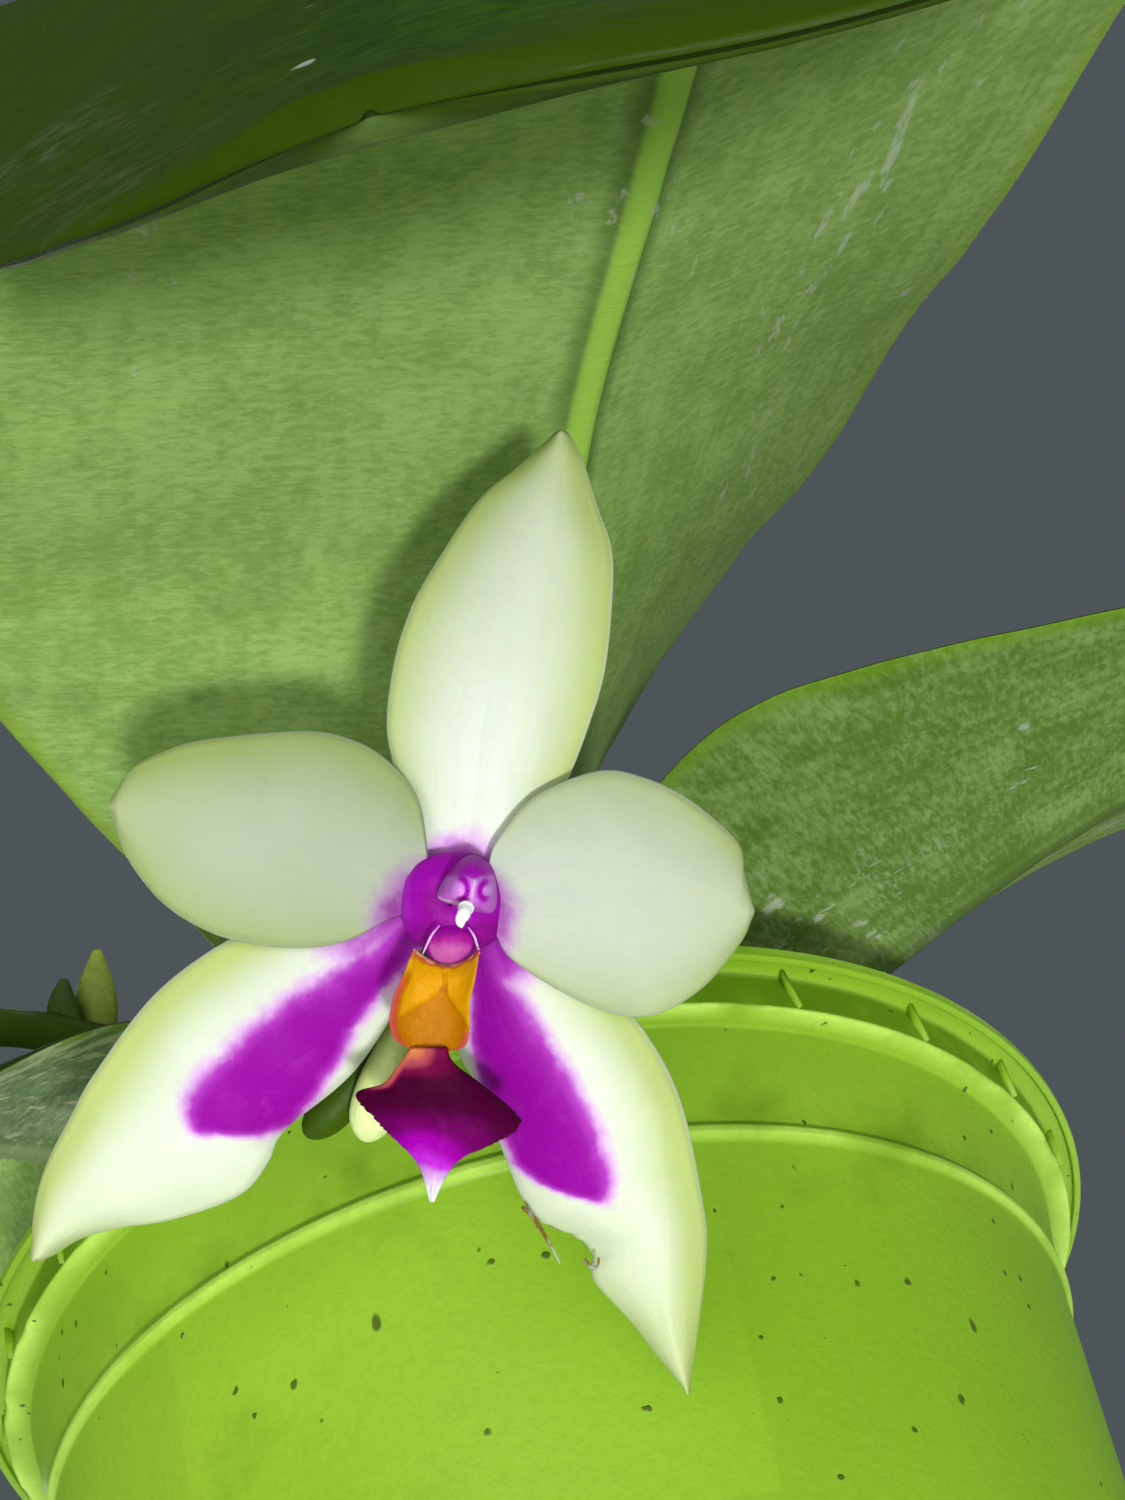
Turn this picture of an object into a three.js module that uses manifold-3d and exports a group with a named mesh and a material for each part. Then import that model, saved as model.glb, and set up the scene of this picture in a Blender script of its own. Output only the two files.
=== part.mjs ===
import * as THREE from 'three';
import { mergeVertices } from 'three/addons/utils/BufferGeometryUtils.js';
import Module from 'manifold-3d';

const wasm = await Module();
wasm.setup();

// An orchid in bloom in a 12 cm nursery pot. Sizes are in millimetres.
// The origin is the centre of the pot's base, +Z is up and -Y is the side where the flower hangs.

// Pot
const POT_HEIGHT = 110;
const RIM_RADIUS = 60;
const WALL = 1.2;
const WALL_RADIUS_AT_BEAD = 52;
const WALL_SLOPE = 0.165;
const BEAD_HEIGHT = 95.4;
const BEAD_PROUD = 0.7;
const SHOULDER_HEIGHT = 105;
const SHOULDER_RADIUS = 54.7;
const COLLAR_RADIUS = 57.2;
const LIP_DROP = 1.6;
const LIP_THICKNESS = 0.8;
const FOOT_INNER_RADIUS = 30.5;
const FOOT_OUTER_RADIUS = 36;
const FLOOR_UNDERSIDE = 2.6;
const POT_SEGMENTS = 48;
const BOSS_RADIUS = 7;
const DRAIN_HOLE_RADIUS = 3.8;
const DRAIN_HOLE_COUNT = 8;
const DRAIN_CIRCLE_RADIUS = 22;
const WEB_COUNT = 24;
const WEB_THICKNESS = 0.8;
const WEB_FIRST_ANGLE = -62.5;
const WEB_TILT = 14;
const WEB_PROUD = 1;

// Bark
const BARK_TOP = 95;
const BARK_GAP = 0.5;
const BARK_SEGMENTS = 40;
const CHIP_COUNT = 42;
const CHIP_REACH = 42;
const CHANNEL_GAP = 0.45;

// Stem and roots
const STEM_BOTTOM = 78;
const STEM_TOP = 131.4;
const STEM_RADIUS = 7.5;
const STEM_SIDES = 12;
const ROOT_ANGLES = [25, 112, 182, 305];
const ROOT_RADIUS = 2.3;

// Leaf blades
const MIDRIB_THICKNESS = 2.6;
const MARGIN_THICKNESS = 0.9;
const MIDRIB_RIDGE = 1.1;
const LAST_ROW = 0.998;
const TIP_BLUNTNESS = 2.2;
const BLADE_COLUMNS = [-1, -0.66, -0.33, -0.07, 0, 0.07, 0.33, 0.66, 1];

// Flower
const TEPAL_THICKNESS = 1;
const SEPAL_LEVEL = -0.9;
const PETAL_LEVEL = 0.9;
const FLOWER_ORIGIN = [-1.3, -84, 92.5];
const FLOWER_RIGHT = [0.9747, 0.1119, -0.1936];
const FLOWER_UP = [0.2073, -0.7769, 0.5946];

const rad = THREE.MathUtils.degToRad;
const V = (x, y, z) => new THREE.Vector3(x, y, z);

/** The radius of the pot's outside wall at a height. */
const wallRadius = (z) => WALL_RADIUS_AT_BEAD + WALL_SLOPE * (z - BEAD_HEIGHT);

/** A repeatable series of numbers from 0 to 1. */
function numberSeries(seed) {
  let state = seed;
  return () => {
    state = (state * 16807) % 2147483647;
    return state / 2147483647;
  };
}

/** Eases from 0 to 1. */
const smooth = (x) => THREE.MathUtils.smoothstep(x, 0, 1);

/** A smooth curve through points given as [x, y, z]. */
function curveThrough(points) {
  const curve = new THREE.CatmullRomCurve3(points.map((p) => V(...p)), false, 'catmullrom', 0.5);
  curve.arcLengthDivisions = 400;
  return curve;
}

/** A smooth value along a part, through equally spaced values. */
const profile = (values, s) => curveThrough(values.map((value) => [value, 0, 0])).getPoint(s).x;

/** A geometry from corner points and triangles. */
function geometryFrom(corners, triangles) {
  const geometry = new THREE.BufferGeometry();
  const numbers = corners.flatMap((p) => p.toArray());
  geometry.setAttribute('position', new THREE.Float32BufferAttribute(numbers, 3));
  geometry.setIndex(triangles.flat());
  geometry.computeVertexNormals();
  return geometry;
}

/** A closed sheet between two grids of points with the same rows and columns. */
function closedSheet(upper, lower) {
  const rows = upper.length;
  const columns = upper[0].length;
  const below = rows * columns;
  const at = (i, j) => i * columns + j;
  const triangles = [];
  for (let i = 0; i < rows - 1; i += 1) {
    for (let j = 0; j < columns - 1; j += 1) {
      const [a, b, c, d] = [at(i, j), at(i, j + 1), at(i + 1, j), at(i + 1, j + 1)];
      triangles.push([a, b, c], [b, d, c]);
      triangles.push([below + a, below + c, below + b], [below + b, below + c, below + d]);
    }
  }
  const border = (from, to) => triangles.push([from, to, below + to], [from, below + to, below + from]);
  for (let i = 0; i < rows - 1; i += 1) {
    border(at(i, 0), at(i + 1, 0));
    border(at(i + 1, columns - 1), at(i, columns - 1));
  }
  for (let j = 0; j < columns - 1; j += 1) {
    border(at(0, j + 1), at(0, j));
    border(at(rows - 1, j), at(rows - 1, j + 1));
  }
  return geometryFrom([...upper.flat(), ...lower.flat()], triangles);
}

/** A closed round or flattened stalk along a curve, with a radius at equally spaced stations. */
function stalk(points, radii, { sides = 8, steps = 12, flatness = 1 } = {}) {
  const curve = curveThrough(points);
  const frames = curve.computeFrenetFrames(steps, false);
  const corners = [];
  for (let i = 0; i <= steps; i += 1) {
    const centre = curve.getPointAt(i / steps);
    const radius = profile(radii, i / steps);
    for (let j = 0; j < sides; j += 1) {
      const angle = (2 * Math.PI * j) / sides;
      corners.push(
        centre
          .clone()
          .addScaledVector(frames.normals[i], radius * flatness * Math.cos(angle))
          .addScaledVector(frames.binormals[i], radius * Math.sin(angle)),
      );
    }
  }
  const start = corners.push(curve.getPointAt(0)) - 1;
  const end = corners.push(curve.getPointAt(1)) - 1;
  const triangles = [];
  for (let j = 0; j < sides; j += 1) {
    const next = (j + 1) % sides;
    for (let i = 0; i < steps; i += 1) {
      const [a, b] = [i * sides + j, i * sides + next];
      triangles.push([a, b, a + sides], [b, b + sides, a + sides]);
    }
    triangles.push([start, next, j], [end, steps * sides + j, steps * sides + next]);
  }
  return geometryFrom(corners, triangles);
}

/** A solid for adding and subtracting. */
function toSolid(geometry) {
  const bare = new THREE.BufferGeometry();
  bare.setAttribute('position', geometry.getAttribute('position'));
  bare.setIndex(geometry.getIndex());
  const welded = mergeVertices(bare, 1e-4);
  const vertProperties = welded.getAttribute('position').array;
  const triVerts = Uint32Array.from(welded.getIndex().array);
  return new wasm.Manifold(new wasm.Mesh({ numProp: 3, vertProperties, triVerts }));
}

/** The geometry of a solid. */
function fromSolid(solid) {
  const mesh = solid.getMesh();
  const geometry = new THREE.BufferGeometry();
  geometry.setAttribute('position', new THREE.Float32BufferAttribute(mesh.vertProperties, 3));
  geometry.setIndex(Array.from(mesh.triVerts));
  geometry.computeVertexNormals();
  return geometry;
}

/** One body made of overlapping geometries. */
const fused = (geometries) =>
  fromSolid(geometries.map(toSolid).reduce((whole, piece) => whole.add(piece)));

/** A body turned about the vertical axis. */
function turned(profilePoints, segments) {
  const points = profilePoints.map(([r, z]) => new THREE.Vector2(r, z));
  return new THREE.LatheGeometry(points, segments).rotateX(Math.PI / 2);
}

// Finishes

const finish = (color, roughness) => new THREE.MeshStandardMaterial({ color, roughness, metalness: 0 });
const limePlastic = () => finish(0x93bd38, 0.42);
const barkBrown = () => finish(0x5a3b25, 0.95);
const stemGreen = () => finish(0x55702e, 0.7);
const rootSilver = () => finish(0x9aa58a, 0.85);
const leafGreen = () => finish(0x5f8a3c, 0.6);
const oldLeafGreen = () => finish(0x66785a, 0.75);
const spikeGreen = () => finish(0x3c5a20, 0.6);
const pedicelGreen = () => finish(0xb5c98a, 0.5);
const budGreen = () => finish(0xbccf7a, 0.5);
const tepalWhite = () => finish(0xe8eedb, 0.5);
const columnPurple = () => finish(0x9a2aa6, 0.4);
const capWhite = () => finish(0xf4ecf6, 0.4);
const callusYellow = () => finish(0xe8a90a, 0.45);
const lobePurple = () => finish(0x7a0078, 0.4);

// Pot

/** The pot's wall, floor, central boss, foot ring, bead, collar and turned-down lip, from axis to axis. */
function potWallProfile() {
  const floorTop = FLOOR_UNDERSIDE + WALL;
  const flange = POT_HEIGHT - 1;
  return [
    [0, 0],
    [BOSS_RADIUS, 0],
    [BOSS_RADIUS + 0.6, FLOOR_UNDERSIDE],
    [FOOT_INNER_RADIUS - 0.8, FLOOR_UNDERSIDE],
    [FOOT_INNER_RADIUS, 0],
    [FOOT_OUTER_RADIUS, 0],
    [wallRadius(1), 1],
    [wallRadius(BEAD_HEIGHT - 0.7), BEAD_HEIGHT - 0.7],
    [WALL_RADIUS_AT_BEAD + BEAD_PROUD, BEAD_HEIGHT - 0.25],
    [WALL_RADIUS_AT_BEAD + BEAD_PROUD, BEAD_HEIGHT + 0.25],
    [wallRadius(BEAD_HEIGHT + 0.8), BEAD_HEIGHT + 0.8],
    [SHOULDER_RADIUS, SHOULDER_HEIGHT],
    [COLLAR_RADIUS, SHOULDER_HEIGHT],
    [COLLAR_RADIUS, flange - 0.4],
    [COLLAR_RADIUS + 0.6, flange],
    [RIM_RADIUS - LIP_THICKNESS, flange],
    [RIM_RADIUS - LIP_THICKNESS, POT_HEIGHT - LIP_DROP],
    [RIM_RADIUS, POT_HEIGHT - LIP_DROP],
    [RIM_RADIUS, POT_HEIGHT - 0.4],
    [RIM_RADIUS - 0.4, POT_HEIGHT],
    [COLLAR_RADIUS - WALL, POT_HEIGHT],
    [COLLAR_RADIUS - WALL, SHOULDER_HEIGHT + WALL],
    [SHOULDER_RADIUS - WALL, SHOULDER_HEIGHT + WALL],
    [WALL_RADIUS_AT_BEAD - WALL, BEAD_HEIGHT],
    [wallRadius(floorTop) - WALL, floorTop],
    [0, floorTop],
  ];
}

/** A thin leaning web on the collar, between the shoulder and the lip. */
function collarWeb(angle) {
  const [inside, top] = [COLLAR_RADIUS - 0.4, POT_HEIGHT - 0.6];
  const middle = (SHOULDER_HEIGHT + POT_HEIGHT) / 2;
  const outline = new THREE.Shape();
  outline.moveTo(inside, SHOULDER_HEIGHT + 0.3);
  outline.lineTo(COLLAR_RADIUS + WEB_PROUD / 2, SHOULDER_HEIGHT + 0.6);
  outline.lineTo(COLLAR_RADIUS + WEB_PROUD, top);
  outline.lineTo(inside, top);
  outline.closePath();
  return new THREE.ExtrudeGeometry(outline, { depth: WEB_THICKNESS, bevelEnabled: false })
    .translate(0, -middle, -WEB_THICKNESS / 2)
    .rotateX(rad(WEB_TILT))
    .translate(0, middle, 0)
    .rotateX(Math.PI / 2)
    .rotateZ(rad(angle));
}

/** The pot with its webs and drain holes. */
function potGeometry() {
  let solid = toSolid(turned(potWallProfile(), POT_SEGMENTS));
  for (let i = 0; i < WEB_COUNT; i += 1) {
    solid = solid.add(toSolid(collarWeb(WEB_FIRST_ANGLE + (360 * i) / WEB_COUNT)));
  }
  for (let i = 0; i < DRAIN_HOLE_COUNT; i += 1) {
    const angle = (2 * Math.PI * i) / DRAIN_HOLE_COUNT;
    const drain = new THREE.CylinderGeometry(DRAIN_HOLE_RADIUS, DRAIN_HOLE_RADIUS, 4 * WALL, 12)
      .rotateX(Math.PI / 2)
      .translate(
        DRAIN_CIRCLE_RADIUS * Math.cos(angle),
        DRAIN_CIRCLE_RADIUS * Math.sin(angle),
        FLOOR_UNDERSIDE + WALL / 2,
      );
    solid = solid.subtract(toSolid(drain));
  }
  return fromSolid(solid);
}

// Stem and roots

/** The stem, wider by a gap where it is used to cut its own hole. */
function stemGeometry(gap = 0) {
  const radii = [1, 1, 1, 0.95, 0.8, 0.55].map((share) => STEM_RADIUS * share + gap);
  const points = [
    [0, 0, STEM_BOTTOM - gap],
    [0, 0, (STEM_BOTTOM + STEM_TOP) / 2],
    [0, 0, STEM_TOP],
  ];
  return stalk(points, radii, { sides: STEM_SIDES, steps: 6 });
}

/** A root that arches out of the stem and dives into the bark. */
function rootGeometry(index, gap = 0) {
  const random = numberSeries(91 + 37 * index);
  const sway = () => 5 * (random() - 0.5);
  const angle = ROOT_ANGLES[index];
  const at = (radius, turn, z) => {
    const direction = rad(angle + turn);
    return [radius * Math.cos(direction), radius * Math.sin(direction), z];
  };
  const points = [
    at(STEM_RADIUS + 0.4, 0, 100.5),
    at(15, sway(), 102),
    at(25, 2 * sway(), 98.5),
    at(32, 2 * sway(), 89),
    at(35, 3 * sway(), 78 - gap),
  ];
  const radii = [1, 1, 0.95, 0.9, 0.8].map((share) => ROOT_RADIUS * share + gap);
  return stalk(points, radii, { sides: 7, steps: 12 });
}

// Bark

/** One rough wedge of bark. */
function barkChip(random) {
  const half = [2.6 + 3 * random(), 1.8 + 2 * random(), 0.9 + 1.1 * random()];
  const chip = new THREE.BoxGeometry(2 * half[0], 2 * half[1], 2 * half[2]);
  const corner = chip.getAttribute('position');
  const skew = [random(), random(), random()].map((x) => 0.6 + 0.4 * x);
  for (let i = 0; i < corner.count; i += 1) {
    const top = corner.getZ(i) > 0;
    const right = corner.getX(i) > 0;
    corner.setX(i, corner.getX(i) * (top ? skew[0] : 1));
    corner.setY(i, corner.getY(i) * (right ? skew[1] : 1));
    corner.setZ(i, corner.getZ(i) * (right ? 1 : skew[2]));
  }
  return chip
    .rotateX(1.2 * (random() - 0.5))
    .rotateY(1.2 * (random() - 0.5))
    .rotateZ(2 * Math.PI * random());
}

/** The bark that fills the pot, rough on top, with holes for the stem and the roots. */
function barkGeometry() {
  const bottom = FLOOR_UNDERSIDE + WALL + 0.4;
  const inside = (z) => wallRadius(z) - WALL - BARK_GAP;
  const outline = [[0, bottom], [inside(bottom), bottom], [inside(BARK_TOP), BARK_TOP], [0, BARK_TOP]];
  const random = numberSeries(4711);
  let solid = toSolid(turned(outline, BARK_SEGMENTS));
  for (let i = 0; i < CHIP_COUNT; i += 1) {
    const radius = CHIP_REACH * Math.sqrt((i + 0.5) / CHIP_COUNT);
    const angle = 2.4 * i + 0.3 * random();
    const [x, y, z] = [radius * Math.cos(angle), radius * Math.sin(angle), BARK_TOP + 0.7 * random()];
    solid = solid.add(toSolid(barkChip(random).translate(x, y, z)));
  }
  solid = solid.subtract(toSolid(stemGeometry(CHANNEL_GAP)));
  ROOT_ANGLES.forEach((_, index) => {
    solid = solid.subtract(toSolid(rootGeometry(index, CHANNEL_GAP)));
  });
  const bodies = solid.decompose().sort((a, b) => b.volume() - a.volume());
  return fromSolid(bodies[0]);
}

// Leaves

/** The width of a blade at a share of its length, as a share of its greatest width. */
function bladeWidth(s, base, peak) {
  const grow = base + (1 - base) * smooth(s / peak);
  const beyond = Math.max(s - peak, 0) / (1.0005 - peak);
  return grow * Math.sqrt(1 - beyond ** TIP_BLUNTNESS);
}

/** The middle surface of a leaf at s along it and t across it, with the direction away from its underside. */
function leafSurface(leaf, s, t) {
  const along = leaf.curve.getTangentAt(s);
  const level = V(Math.cos(rad(leaf.side)), Math.sin(rad(leaf.side)), 0);
  const across = level.addScaledVector(along, -level.dot(along)).normalize();
  const up = V().crossVectors(across, along);
  const turn = rad(profile(leaf.roll, s));
  const right = across.clone().multiplyScalar(Math.cos(turn)).addScaledVector(up, Math.sin(turn));
  const lift = up.clone().multiplyScalar(Math.cos(turn)).addScaledVector(across, -Math.sin(turn));
  const [half, folds, curls] =
    t < 0
      ? [leaf.leftWidth, leaf.leftFold, leaf.leftCurl]
      : [leaf.rightWidth, leaf.rightFold, leaf.rightCurl];
  const width = bladeWidth(s, leaf.base, leaf.peak);
  const fold = rad(profile(folds, s));
  const reach = t * width * half;
  const rise = Math.abs(reach) * Math.sin(fold) + width * profile(curls, s) * t * t;
  const point = leaf.curve
    .getPointAt(s)
    .addScaledVector(right, reach * Math.cos(fold))
    .addScaledVector(lift, rise);
  return { point, lift };
}

/** The direction in which a leaf's thickness is laid: its surface's own, but the midrib's near the midrib. */
function leafNormal(leaf, s, t, lift) {
  const [ds, dt] = [0.004, 0.02];
  const within = (value, low, high) => Math.min(Math.max(value, low), high);
  const at = (u, v) => leafSurface(leaf, within(u, 0, LAST_ROW), within(v, -1, 1)).point;
  const lengthwise = at(s + ds, t).sub(at(s - ds, t));
  const crosswise = at(s, t + dt).sub(at(s, t - dt));
  const normal = crosswise.cross(lengthwise).normalize();
  return lift.clone().lerp(normal, smooth(Math.abs(t) / 0.3)).normalize();
}

/** A leaf blade, thick along its midrib and thin at its margins, with a ridge along its underside. */
function leafBlade(leaf, rows) {
  leaf.curve = curveThrough(leaf.midrib);
  const upper = [];
  const lower = [];
  for (let i = 0; i <= rows; i += 1) {
    const s = LAST_ROW * Math.sin((Math.PI / 2) * (i / rows));
    const points = BLADE_COLUMNS.map((t) => {
      const { point, lift } = leafSurface(leaf, s, t);
      const normal = leafNormal(leaf, s, t, lift);
      const extra = (MIDRIB_THICKNESS - MARGIN_THICKNESS) * (1 - t * t) * (1 - 0.5 * s);
      const half = (MARGIN_THICKNESS + extra) / 2;
      const ridge = t === 0 ? MIDRIB_RIDGE * (1 - s) : 0;
      return [half, -half - ridge].map((height) => point.clone().addScaledVector(normal, height));
    });
    upper.push(points.map(([top]) => top));
    lower.push(points.map(([, under]) => under));
  }
  return closedSheet(upper, lower);
}

/** The big leaf over the flower, with its end hanging down in front. */
function frontLeaf() {
  return leafBlade({
    midrib: [[-3, -10.9, 121], [-1.3, -36.4, 124.7], [10.2, -74.2, 130.4], [16.5, -97.1, 130.5],
      [22.5, -119.6, 123.4], [23.2, -135.2, 108.6], [17.6, -141.9, 90.1], [1.6, -143.7, 54.8]],
    side: 170,
    roll: [-22, -27, -14, 2, 0],
    base: 0.19,
    peak: 0.41,
    leftWidth: 49.9,
    rightWidth: 52.2,
    leftFold: [45, 32, 14, 4, -4],
    rightFold: [43, 22, 11, 11, -4],
    leftCurl: [-2.7, 1, -3.9, -3.9, -2.5],
    rightCurl: [0, -1, -2.7, -3.3, -4],
  }, 24);
}

/** The leaf at the right, folded along its keel. */
function rightLeaf() {
  return leafBlade({
    midrib: [[11, -4.5, 114], [26, -17.4, 122.3], [43.6, -29.5, 127.6], [73.4, -42.8, 131.4],
      [105.6, -49.4, 130.8], [138.8, -51, 127.7]],
    side: -105,
    roll: [-2, -17, -23, -21],
    base: 0.21,
    peak: 0.37,
    leftWidth: 43.8,
    rightWidth: 43.8,
    leftFold: [47, 24, 15, 9],
    rightFold: [47, 12, -2, -6],
    leftCurl: [0.5, -3.2, -2.6, -3.9],
    rightCurl: [0.5, 1.3, -5.7, -3.9],
  }, 17);
}

/** The old narrow leaf at the left. */
function oldLeftLeaf() {
  return leafBlade({
    midrib: [[-10, -6, 108], [-26.1, -25.7, 116.5], [-46.2, -44.1, 116.8], [-75.2, -62.7, 101],
      [-117.4, -84.5, 74.5]],
    side: 150,
    roll: [6, 13, 16, 5],
    base: 0.28,
    peak: 0.52,
    leftWidth: 27.2,
    rightWidth: 25.8,
    leftFold: [39, 12, -2, -3],
    rightFold: [46, 26, 12, 1],
    leftCurl: [0, -2, -3, -3],
    rightCurl: [0, -2, -3, -3],
  }, 15);
}

/** A leaf with the usual channelled form and even halves. */
function evenLeaf(midrib, side, halfWidth, rows) {
  const fold = [46, 25, 14, 8];
  const curl = [0, -2, -4, -4];
  return leafBlade({
    midrib,
    side,
    roll: [0, 4, 3, 0],
    base: 0.22,
    peak: 0.5,
    leftWidth: halfWidth,
    rightWidth: halfWidth,
    leftFold: fold,
    rightFold: fold,
    leftCurl: curl,
    rightCurl: curl,
  }, rows);
}

const backLeaf = () =>
  evenLeaf([[2.5, 10.5, 122], [7, 45, 150], [9, 92, 156], [10, 140, 138], [9, 172, 106]], 174, 43, 16);

const backLeftLeaf = () =>
  evenLeaf(
    [[-10.5, 4.5, 117], [-46, 16, 138], [-92, 27, 141], [-134, 35, 120], [-160, 40, 90]],
    75,
    40,
    16,
  );

/** The young leaf that rises from the middle of the crown. */
function youngLeaf() {
  const fold = [55, 38, 24, 16];
  const curl = [0, -1, -1, -1];
  return leafBlade({
    midrib: [[1.5, 1.5, 133.5], [3, 5, 148], [8, 18, 170], [17, 38, 188]],
    side: 150,
    roll: [0, 0],
    base: 0.4,
    peak: 0.5,
    leftWidth: 16,
    rightWidth: 16,
    leftFold: fold,
    rightFold: fold,
    leftCurl: curl,
    rightCurl: curl,
  }, 11);
}

// Flower stalks

/** A small pointed bract. */
const bract = (points, radii, flatness) => stalk(points, radii, { steps: 4, flatness });

/** The dark spike in bloom, with two small bracts. */
function flowerSpike() {
  const axis = [[0, -8.3, 113.5], [0, -40, 117.5], [-1, -62, 116.5], [-3, -71, 108], [-5.2, -72.9, 98.5],
    [-8.5, -70.6, 93.5], [-11.3, -69.1, 91.3], [-14.6, -67.4, 89.8]];
  return fused([
    stalk(axis, [2.3, 2.1, 2.1, 1.9, 1.8, 1.6, 1.7, 1.3], { steps: 24 }),
    bract([[0, -38, 118.4], [0.6, -43, 120.4], [0.8, -48, 121.2]], [2.2, 1.8, 0.4], 0.6),
    bract([[-3, -70.5, 109], [-2.8, -73.6, 111], [-2.6, -76, 111.6]], [2, 1.5, 0.4], 0.6),
  ]);
}

/** The flower's own stalk, from behind the flower to the spike. */
function pedicelGeometry() {
  const axis = [[0.2, -83, 93.9], [0.6, -80, 97.6], [0.4, -76.6, 101.4], [-1.3, -74.4, 104.3]];
  return stalk(axis, [1.4, 1.3, 1.2, 1.1], { steps: 6 });
}

/** The long bud at the spike's end. */
function budGeometry() {
  const axis = [[-6.1, -74.5, 92.3], [-8.1, -71.5, 90.1], [-10.4, -68.1, 87.6]];
  return stalk(axis, [0.8, 1.2, 1.6, 1.6, 0.5], { steps: 8 });
}

/** The old spike at the left, with the bracts of its joint. */
function oldSpike() {
  const axis = [[-8.2, -4, 117.5], [-24, -26.5, 122.3], [-40, -45.5, 126], [-53, -55, 122.5]];
  return fused([
    stalk(axis, [2.3, 2.2, 2.4, 1.6], { steps: 12, flatness: 0.8 }),
    bract([[-38.2, -44.2, 126.4], [-37.6, -47.4, 130], [-36.9, -49.9, 133.3]], [1.8, 2, 0.4], 0.4),
    bract([[-40.6, -46.6, 126.3], [-40.3, -48.9, 128], [-39.7, -50.6, 129.4]], [1.8, 1.5, 0.4], 0.5),
  ]);
}

// Flower, in its own frame: x to the right and y up as seen from in front, z towards the front

/** A curved sheet between its left and right edges, as seen from in front when looking from base to tip. */
function petalSheet({ left, right, height, rows, columns = 6, thickness = TEPAL_THICKNESS }) {
  const [leftEdge, rightEdge] = [left, right].map((edge) => curveThrough(edge.map(([u, v]) => [u, v, 0])));
  const upper = [];
  const lower = [];
  for (let i = 0; i <= rows; i += 1) {
    const s = i / rows;
    const [a, b] = [leftEdge.getPointAt(s), rightEdge.getPointAt(s)];
    const points = Array.from({ length: columns + 1 }, (_, j) => {
      const t = (2 * j) / columns - 1;
      return a.clone().lerp(b, j / columns).setZ(height(s, t));
    });
    const half = V(0, 0, thickness / 2);
    upper.push(points.map((p) => p.clone().add(half)));
    lower.push(points.map((p) => p.clone().sub(half)));
  }
  return closedSheet(upper, lower);
}

/** The height of a sepal: behind the petals, its edges curving back. */
const sepalHeight = (s, t) => SEPAL_LEVEL - 1.8 * smooth(s / 0.3) * t * t - 1.5 * s * s;

/** The height of a petal: in front of the sepals, its edges curving back. */
const petalHeight = (s, t) => PETAL_LEVEL - 1.3 * smooth(s / 0.5) * t * t - 1.2 * s * s;

const dorsalSepal = () =>
  petalSheet({
    left: [[-1.6, 1.2], [-2.9, 5.2], [-3.8, 9.1], [-4.3, 11.9], [-4, 15.3], [-3.2, 18.6], [-1.7, 22],
      [1.8, 27.4], [4.6, 29.9], [7, 32.1]],
    right: [[3.4, 1.2], [6.4, 4.8], [8.3, 8.7], [9.7, 12.4], [10.7, 16], [11.2, 21.1], [11.1, 24.3],
      [10.1, 27.3], [9.2, 30.3], [8.3, 32.1]],
    height: sepalHeight,
    rows: 12,
  });

const leftSepal = () =>
  petalSheet({
    left: [[-0.4, -1.6], [-2.5, -4.3], [-3.8, -7.7], [-6.8, -12], [-11.3, -15.8], [-12.4, -17.9],
      [-13.9, -19.9], [-16.3, -21.2], [-19.6, -22.2], [-22.7, -22.7], [-25.5, -23.5], [-27.4, -24.7]],
    right: [[-2.7, 0.5], [-8.6, 0.1], [-14.8, -2.5], [-20.1, -6.3], [-24.3, -11.7], [-26.1, -14.8],
      [-27.6, -17.6], [-28.6, -20.4], [-29.1, -24.4]],
    height: sepalHeight,
    rows: 14,
  });

const rightSepal = () =>
  petalSheet({
    left: [[3.9, -0.3], [8.6, -4], [12.6, -7.9], [15.7, -13.3], [17.4, -20.7], [17.7, -24.2],
      [17.2, -29.3], [16.6, -33.7]],
    right: [[1, -1.8], [0.5, -9.5], [2, -12.9], [3.5, -16.9], [5.4, -21.4], [6.9, -22.4], [9.4, -23.8],
      [9.8, -26], [10.6, -27.2], [12.6, -29.4], [14.5, -31.9], [16, -33.6]],
    height: sepalHeight,
    rows: 14,
  });

const leftPetal = () =>
  petalSheet({
    left: [[-1.2, -0.6], [-3.1, -0.7], [-6.4, -2.3], [-9.1, -2.9], [-12.3, -2.8], [-15.7, -2],
      [-19.1, 0], [-21.5, 2.9], [-22.5, 5.6]],
    right: [[-1, 1.4], [-1.1, 3], [-1.8, 7], [-3.8, 9.5], [-6.3, 11], [-9.7, 11.6], [-16.5, 11],
      [-19.7, 10], [-21.4, 9], [-22.5, 7.5]],
    height: petalHeight,
    rows: 12,
  });

const rightPetal = () =>
  petalSheet({
    left: [[3, 1.4], [2.9, 3], [3.6, 4.7], [6, 7.3], [10.1, 8.9], [13.1, 8.5], [16.2, 7], [19.5, 4.2],
      [20, 2.2], [20.5, 0.2]],
    right: [[3, -0.9], [3.3, -1.7], [4.1, -3.3], [6.5, -5.1], [9.6, -6.8], [12.3, -7.6], [14.7, -7.2],
      [17.3, -5.6], [19.7, -2.8], [20.6, -1]],
    height: petalHeight,
    rows: 12,
  });

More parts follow.
